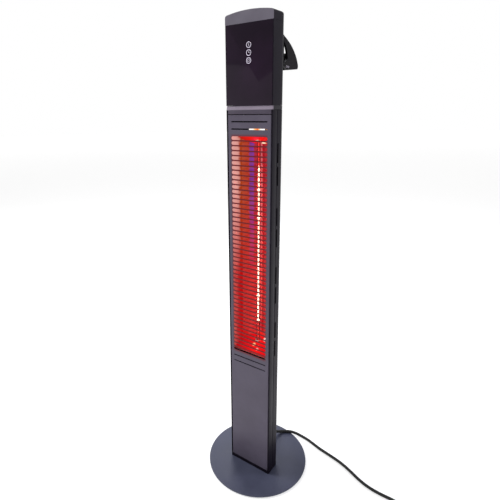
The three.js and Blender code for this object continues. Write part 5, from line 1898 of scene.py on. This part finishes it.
@dataclass(frozen=True)
class Supply:
    """The gland, the strain relief, the cord on the floor, its tied coil and its plug."""

    radius: float = 4.1
    gland: float = 11.0
    relief: float = 28.0
    floor: float = 4.2
    coil_centre: tuple[float, float] = (455.0, -8.0)
    route: tuple[tuple[float, float, float], ...] = (
        (0.0, 53.4, 42.0), (0.0, 62.0, 41.7), (0.3, 73.0, 38.8), (1.2, 84.0, 33.0), (3.0, 94.5, 26.0),
        (6.0, 104.5, 19.5), (10.5, 114.0, 14.6), (17.5, 123.0, 12.0), (28.0, 131.5, 11.4),
        (42.0, 138.5, 11.2), (57.5, 143.6, 9.0), (73.0, 146.0, 5.8), (88.0, 145.7, 4.5),
        (104.0, 143.0, 4.2), (123.0, 137.8, 4.2), (143.0, 132.0, 4.2), (165.0, 127.7, 4.2),
        (188.0, 123.5, 4.2), (212.0, 118.2, 4.2), (234.0, 111.0, 4.2), (256.0, 101.7, 4.2),
        (277.0, 92.0, 4.2), (299.0, 84.0, 4.2), (322.0, 79.2, 4.2), (347.0, 77.6, 4.2),
        (372.0, 78.0, 4.2), (396.0, 76.3, 4.2), (420.0, 70.3, 4.2), (440.0, 62.0, 4.2),
        (455.5, 53.6, 4.2),
    )

    def coil(self) -> Array:
        """The coiled end of the cord.

        It spirals clockwise in from the outermost turn on the floor, climbs to a second layer and
        spirals out again: r falls and then rises with the angle, and z takes one step in the middle.

        Returns:
            Points of x, y, z, to the outermost turn's end.
        """
        sweep = math.radians(1560)
        t = np.linspace(0, 1, 110)
        angle = math.radians(60) - sweep * t
        inner, outer = 36.8, 53.3
        half = np.abs(t - 0.5) * 2
        radius = inner + (outer - inner) * np.clip((half - 0.08) / 0.92, 0, 1)
        step = np.clip((t - 0.44) / 0.12, 0, 1)
        height = self.floor + (12.6 - self.floor) * step**2 * (3 - 2 * step)
        x = self.coil_centre[0] + radius * np.cos(angle)
        y = self.coil_centre[1] + radius * np.sin(angle)
        return np.column_stack([x, y, height])

    def plug_place(self) -> tuple[Array, Array]:
        """Where the plug's neck begins, and the direction that its pins point."""
        low, high = span("plug")
        heading = np.array([-math.sqrt(3) / 2, -0.5, 0.0])
        return np.array([452.4, -70.7, (low[2] + high[2]) / 2]), heading

    def build(self) -> None:
        self.gland_nut()
        relief = self.strain_relief()
        start, heading = self.plug_place()
        first = smooth_path(np.array(self.route), 5)
        lead_in = np.array([[464.0, 48.6, self.floor], [473.0, 43.3, self.floor]])
        coil = self.coil()
        end = coil[-1]
        reach = start + heading * 4.0
        t = np.linspace(0, 1, 8)[1:, None]
        rise = 3 * t**2 - 2 * t**3
        out = end + (reach - end) * t
        out[:, 2] = (end[2] + (reach[2] - end[2]) * rise[:, 0])
        rough = np.concatenate([first, lead_in, coil, out])
        path = smooth_path(rough[np.r_[0 : len(first) : 2, len(first) : len(rough)]], 3)
        shape = loft(tube(path, self.radius, 16))
        cord = Piece("cord", shape, Coat.RUBBER, ("power_cord", "cord_coil"), "black_rubber").put()
        plug = self.plug(start, heading)
        tie = self.tie()

    def gland_nut(self) -> None:
        """The gland: a grooved dome nut against the shell and its thread inside."""
        low, high = span("gland_body")
        z = (low[2] + high[2]) / 2
        face = 16.8
        around = 72
        angles = np.linspace(0, 2 * math.pi, around, endpoint=False)
        grip = self.gland - 0.45 * (np.sin(angles * 18) > 0.2)
        rings = []
        profile = [(7.7, -14.0), (7.7, 0.0), (10.2, 0.0), (grip, 0.5), (grip, 4.9)]
        profile += [(10.0, 5.7), (9.3, 7.2), (8.5, 8.0), (6.2, 8.0)]
        for radius, height in profile:
            x, y = radius * np.cos(angles), radius * np.sin(angles)
            rings.append(np.column_stack([x, y, np.full(around, height)]))
        shape = loft(lying(np.array(rings), (0, face, z), (1, 0, 0), (0, 1, 0)))
        Piece("gland_nut", shape, Coat.GLOSS_PLASTIC, ("gland_body",), "black_plastic", smooth_angle=40).put()

    def strain_relief(self) -> bpy.types.Object:
        """The tapered, ribbed rubber sleeve round the cord where it comes out of the gland.

        Returns:
            The piece.
        """
        low, high = span("strain_relief")
        z = (low[2] + high[2]) / 2
        start, length = low[1], high[1] - low[1]
        profile = [(5.0, 0.0), (7.6, 0.0), (7.9, 0.4), (7.9, 2.4)]
        ribs = 6
        for i in range(ribs):
            share = i / ribs
            radius = 7.7 - 2.5 * share
            at = 3.0 + share * (length - 4.5)
            groove = radius - 1.1
            profile += [(groove, at), (groove, at + 1.3), (radius, at + 1.7), (radius - 0.1, at + 3.3)]
        profile += [(5.0, length - 0.7), (4.8, length - 0.1), (4.3, length)]
        shape = loft(lying(turned(profile, 48), (0, start, z), (1, 0, 0), (0, 1, 0)))
        relief = Piece("cord_relief", shape, Coat.RUBBER, ("strain_relief",), "black_rubber", smooth_angle=50)
        return relief.put()

    def tie(self) -> bpy.types.Object:
        """A strap round the coil's bundle.

        Returns:
            The piece.
        """
        angle = math.radians(200)
        out = np.array([math.cos(angle), math.sin(angle), 0.0])
        along = np.array([-math.sin(angle), math.cos(angle), 0.0])
        middle = np.array([*self.coil_centre, 0.0]) + out * 45.2
        section = rounded([(-13.2, 0.15, 4.0), (12.6, 0.15, 4.0), (12.6, 17.0, 4.0), (-13.2, 17.0, 4.0)], 8)
        ahead = np.roll(section, -1, axis=0) - np.roll(section, 1, axis=0)
        ahead /= np.linalg.norm(ahead, axis=1)[:, None]
        inward = np.stack([-ahead[:, 1], ahead[:, 0]], axis=1)
        rings = []
        for inset, shift in ((0.0, -3.5), (0.0, 3.5), (0.25, 4.0), (0.8, 4.0), (0.8, -4.0), (0.25, -4.0)):
            flat = section + inward * inset
            rings.append(middle + flat[:, :1] * out + along * shift + flat[:, 1:] * [0, 0, 1])
        shape = loft(np.array(rings)[::-1], Cap.RING, Cap.RING)
        return Piece("coil_tie", shape, Coat.SLEEVE, (), "black_rubber").put()

    def plug(self, start: Array, heading: Array) -> bpy.types.Object:
        """A round moulded plug with two pins and two earth springs.

        Args:
            start: Where its neck begins.
            heading: The direction of its pins.

        Returns:
            The piece.
        """
        profile = [(4.3, 0.0), (5.0, 0.0), (5.5, 0.6)]
        for i in range(4):
            at = 2.0 + i * 4.6
            radius = 5.6 + 0.7 * i
            groove = radius - 0.9
            profile += [(radius, at), (radius + 0.1, at + 2.6), (groove, at + 3.1), (groove, at + 4.1)]
        profile += [(9.0, 21.5), (11.5, 24.5), (16.0, 30.0), (18.0, 35.0), (18.5, 38.0), (18.5, 52.0)]
        profile += [(18.2, 54.6), (17.4, 56.0), (15.4, 56.0), (15.2, 55.2), (14.6, 55.2), (14.4, 56.0)]
        profile.append((3.0, 56.0))
        shape = loft(lying(turned(profile, 64), start, (0, 0, 1), heading))
        made = Piece("moulded_plug", shape, Coat.RUBBER, ("plug",), "black_rubber", smooth_angle=40).put()
        grips = []
        for side in (-1, 1):
            for i in range(4):
                pad = oblong((-7, -1), (7, 1), 0.9, 0.9, 4)
                rings = raised(pad, [(0.0, 0.0), (0.7, 0.1), (0.95, 0.45)])
                at = start + heading * (39.5 + i * 4.2) + np.array([0, 0, 1]) * side * 17.6
                grips.append(loft(lying(rings, at, np.cross(heading, (0, 0, side)), (0, 0, side))))
        ridges = Piece("plug_ridges", merged(grips), Coat.RUBBER, (), "black_rubber").put()
        pins = []
        across = np.cross(heading, (0, 0, 1))
        for side in (-1, 1):
            profile = [(2.4, 0.0), (2.4, 16.8), (2.1, 18.2), (1.4, 18.8), (0.5, 19.0)]
            at = start + heading * 55.9 + across * side * 9.5
            pins.append(loft(lying(turned(profile, 24), at, (0, 0, 1), heading)))
        for side in (-1, 1):
            spring = oblong((-2.2, 0), (2.2, 13), 0.4, 1.2, 4)
            rings = raised(spring, [(0.0, 0.0), (0.5, 0.0), (0.7, 0.2)])
            at = start + heading * 43.2 + np.array([0, 0, 1]) * side * 17.95
            pins.append(loft(lying(rings, at, np.cross(heading, (0, 0, side)), (0, 0, side))))
        contacts = Piece("plug_contacts", merged(pins), Coat.NICKEL, (), "brass").put()
        return self.joined(made, [ridges, contacts])

    def joined(self, first: bpy.types.Object, others: list[bpy.types.Object]) -> bpy.types.Object:
        """Joins small details to the piece that they belong to.

        Args:
            first: The piece that stays.
            others: The pieces that become part of it.

        Returns:
            The piece that stays.
        """
        bpy.ops.object.select_all(action="DESELECT")
        for made in (first, *others):
            made.select_set(True)
        bpy.context.view_layer.objects.active = first
        bpy.ops.object.join()
        return first


@dataclass(frozen=True)
class Innards:
    """What stays inside the heater: it keeps its frame shape and is given a finish."""

    finishes: tuple[tuple[str, Coat, str, float], ...] = (
        ("foot_bracket", Coat.ZINC, "plain_steel", 0.2),
        ("bracket_top", Coat.ZINC, "plain_steel", 0.2),
        ("bracket_bottom", Coat.ZINC, "plain_steel", 0.2),
        ("heat_shield", Coat.ZINC, "plain_steel", 0.1),
        ("board_carrier", Coat.ZINC, "plain_steel", 0.2),
        ("service_plate", Coat.ZINC, "plain_steel", 0.2),
        # the trough's end plates carry glowing painted reflections and highlights of the lamp
        ("reflector_end_top", Coat.LIT_END, "mirror_aluminium", 0.0),
        ("reflector_end_bottom", Coat.LIT_END, "mirror_aluminium", 0.0),
        ("thermal_cutout", Coat.PLASTIC, "black_plastic", 0.3),
        ("power_module", Coat.PLASTIC, "black_plastic", 0.5),
        ("tilt_switch_case", Coat.PLASTIC, "black_plastic", 0.3),
        ("terminal_block", Coat.CERAMIC, "white_ceramic", 0.4),
        ("touch_board", Coat.BOARD, "circuit_board", 0.1),
        ("power_board", Coat.BOARD, "circuit_board", 0.1),
        ("relay", Coat.BLUE_PLASTIC, "blue_plastic", 0.5),
        ("tilt_pendulum", Coat.BRASS, "brass", 0.3),
        ("wire_supply", Coat.SLEEVE, "wire_sleeve", 0.0),
        ("wire_lamp_bottom", Coat.SLEEVE, "wire_sleeve", 0.0),
        ("wire_lamp_top", Coat.SLEEVE, "wire_sleeve", 0.0),
        ("handle_screw_1", Coat.STAINLESS, "plain_steel", 0.2),
        ("handle_screw_2", Coat.STAINLESS, "plain_steel", 0.2),
        ("handle_screw_3", Coat.STAINLESS, "plain_steel", 0.2),
        ("handle_screw_4", Coat.STAINLESS, "plain_steel", 0.2),
    )

    def build(self) -> None:
        """Gives each inner part its finish."""
        for node, coat, slot, bevel in self.finishes:
            dress(node, coat, bevel)


# ---- studio --------------------------------------------------------------------------------------


def placed(name: str, data: bpy.types.ID, axes: Sequence[Array], place: Sequence[float]) -> bpy.types.Object:
    """A new object in the scene, turned to three axes.

    Args:
        name: Its name.
        data: Its camera or light.
        axes: The directions of its X, Y and Z.
        place: Where it is, in metres.

    Returns:
        The object.
    """
    made = bpy.data.objects.new(name, data)
    bpy.context.scene.collection.objects.link(made)
    turn = np.eye(4)
    turn[:3, :3] = np.stack(axes, axis=1)
    turn[:3, 3] = place
    made.matrix_world = Matrix(turn.tolist())
    return made


@dataclass(frozen=True)
class Studio:
    """The camera, the pale floor and the soft light round the heater."""

    lens: float = 30.36
    sensor: float = 36.0
    shift: tuple[float, float] = (0.0398, -0.0448)
    eye: tuple[float, float, float] = (555.3, -890.5, 1015.9)
    yaw: float = 35.90
    pitch: float = 15.60
    roll: float = -0.86
    floor_reach: float = 40000.0

    def camera(self) -> None:
        """The camera, turned by yaw, pitch and roll about its own eye."""
        yaw, pitch, roll = (math.radians(a) for a in (self.yaw, self.pitch, self.roll))
        level = math.cos(pitch)
        ahead = np.array([-math.sin(yaw) * level, math.cos(yaw) * level, -math.sin(pitch)])
        right = np.array([math.cos(yaw), math.sin(yaw), 0.0])
        up = np.cross(right, ahead)
        x_axis = math.cos(roll) * right + math.sin(roll) * up
        y_axis = -math.sin(roll) * right + math.cos(roll) * up
        data = bpy.data.cameras.new("camera")
        data.lens, data.sensor_width = self.lens, self.sensor
        data.shift_x, data.shift_y = self.shift
        data.clip_start, data.clip_end = 0.05, 100.0
        eye = np.array(self.eye) * MM
        bpy.context.scene.camera = placed("camera", data, (x_axis, y_axis, -ahead), eye)

    def area(
        self, name: str, place: Sequence[float], aim: Sequence[float], size: float, power: float, tint: str
    ) -> None:
        """A square soft light.

        Args:
            name: Its name.
            place: Where it is, in metres.
            aim: What it points at, in metres.
            size: Its side, in metres.
            power: Its power, in watts.
            tint: Its colour.
        """
        data = bpy.data.lights.new(name, "AREA")
        data.size, data.energy = size, power
        data.color = linear(tint)[:3]
        back = np.array(place, float) - np.array(aim, float)
        back /= np.linalg.norm(back)
        right = np.cross((0, 0, 1), back)
        right /= np.linalg.norm(right)
        placed(name, data, (right, np.cross(back, right), back), place)

    def surface(self, name: str, points: list, faces: list, paint: str, inputs: dict[str, float]) -> None:
        """A surface of the studio that gives white light of its own.

        Args:
            name: Its name.
            points: Its vertices, in metres.
            faces: Its faces.
            paint: The name of its material.
            inputs: Values of the material's inputs. A grey stands for the base colour.
        """
        mesh = bpy.data.meshes.new(name)
        mesh.from_pydata(points, [], faces)
        material = bpy.data.materials.new(paint)
        material.use_nodes = True
        shader = material.node_tree.nodes["Principled BSDF"]
        shader.inputs["Emission Color"].default_value = (1.0, 1.0, 1.0, 1.0)
        for key, value in inputs.items():
            shader.inputs[key].default_value = (value, value, value, 1.0) if key == "Base Color" else value
        mesh.materials.append(material)
        made = bpy.data.objects.new(name, mesh)
        bpy.context.scene.collection.objects.link(made)

    def backdrop(self) -> None:
        """A lit white cloth behind the heater, a long way off, above the floor's edge."""
        reach = self.floor_reach * MM * 0.5
        angles = arc(90 + self.yaw - 48, 90 + self.yaw + 48, 24)
        rings = [(reach * np.cos(a), reach * np.sin(a), z) for z in (-0.5, reach * 0.6) for a in angles]
        index = np.arange(24)
        faces = np.stack([index + 1, index, index + 25, index + 26], axis=1).tolist()
        cloth = {"Base Color": 0.0, "Specular IOR Level": 0.0, "Emission Strength": 1.0}
        self.surface("backdrop", rings, faces, "white_cloth", cloth)

    def build(self) -> None:
        """Lays the floor and sets the lights and the world."""
        reach = self.floor_reach * MM
        points = [(-reach, -reach, 0), (reach, -reach, 0), (reach, reach, 0), (-reach, reach, 0)]
        boards = {"Base Color": 0.6, "Roughness": 0.75, "Emission Strength": 0.62}
        self.surface("floor", points, [(0, 1, 2, 3)], "pale_floor", boards)
        self.backdrop()
        world = bpy.data.worlds.new("studio")
        bpy.context.scene.world = world
        world.use_nodes = True
        back = world.node_tree.nodes["Background"]
        back.inputs["Color"].default_value = (1.0, 1.0, 1.0, 1.0)
        back.inputs["Strength"].default_value = 0.42
        self.area("key", (-2.3, -1.0, 2.7), (0, 0, 0.8), 1.4, 75.0, "ffffff")
        self.area("rim", (-1.5, 1.7, 2.0), (0, 0, 0.1), 1.2, 22.0, "f2f4ff")
        self.area("side", (2.2, 1.4, 2.0), (0, 0, 0.7), 0.8, 18.0, "f4f2ff")
        bpy.context.scene.view_settings.view_transform = "Standard"


def main() -> None:
    """Builds the heater in order and says how far it has come."""
    logging.basicConfig(level=logging.INFO, format="%(name)s: %(message)s")
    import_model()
    studio = Studio()
    studio.camera()
    steps: list[tuple[str, Callable[[], None]]] = [
        ("cord, gland and plug", Supply().build), ("base", Base().build), ("column", Column().build),
        ("head", Head().build), ("handle", Handle().build), ("lamp and trough", Lamp().build),
        ("switch", Switch().build), ("inner parts", Innards().build), ("studio", studio.build),
    ]
    for name, build in steps:
        build()
        LOG.info("%s: done", name)


if __name__ == "__main__":
    main()
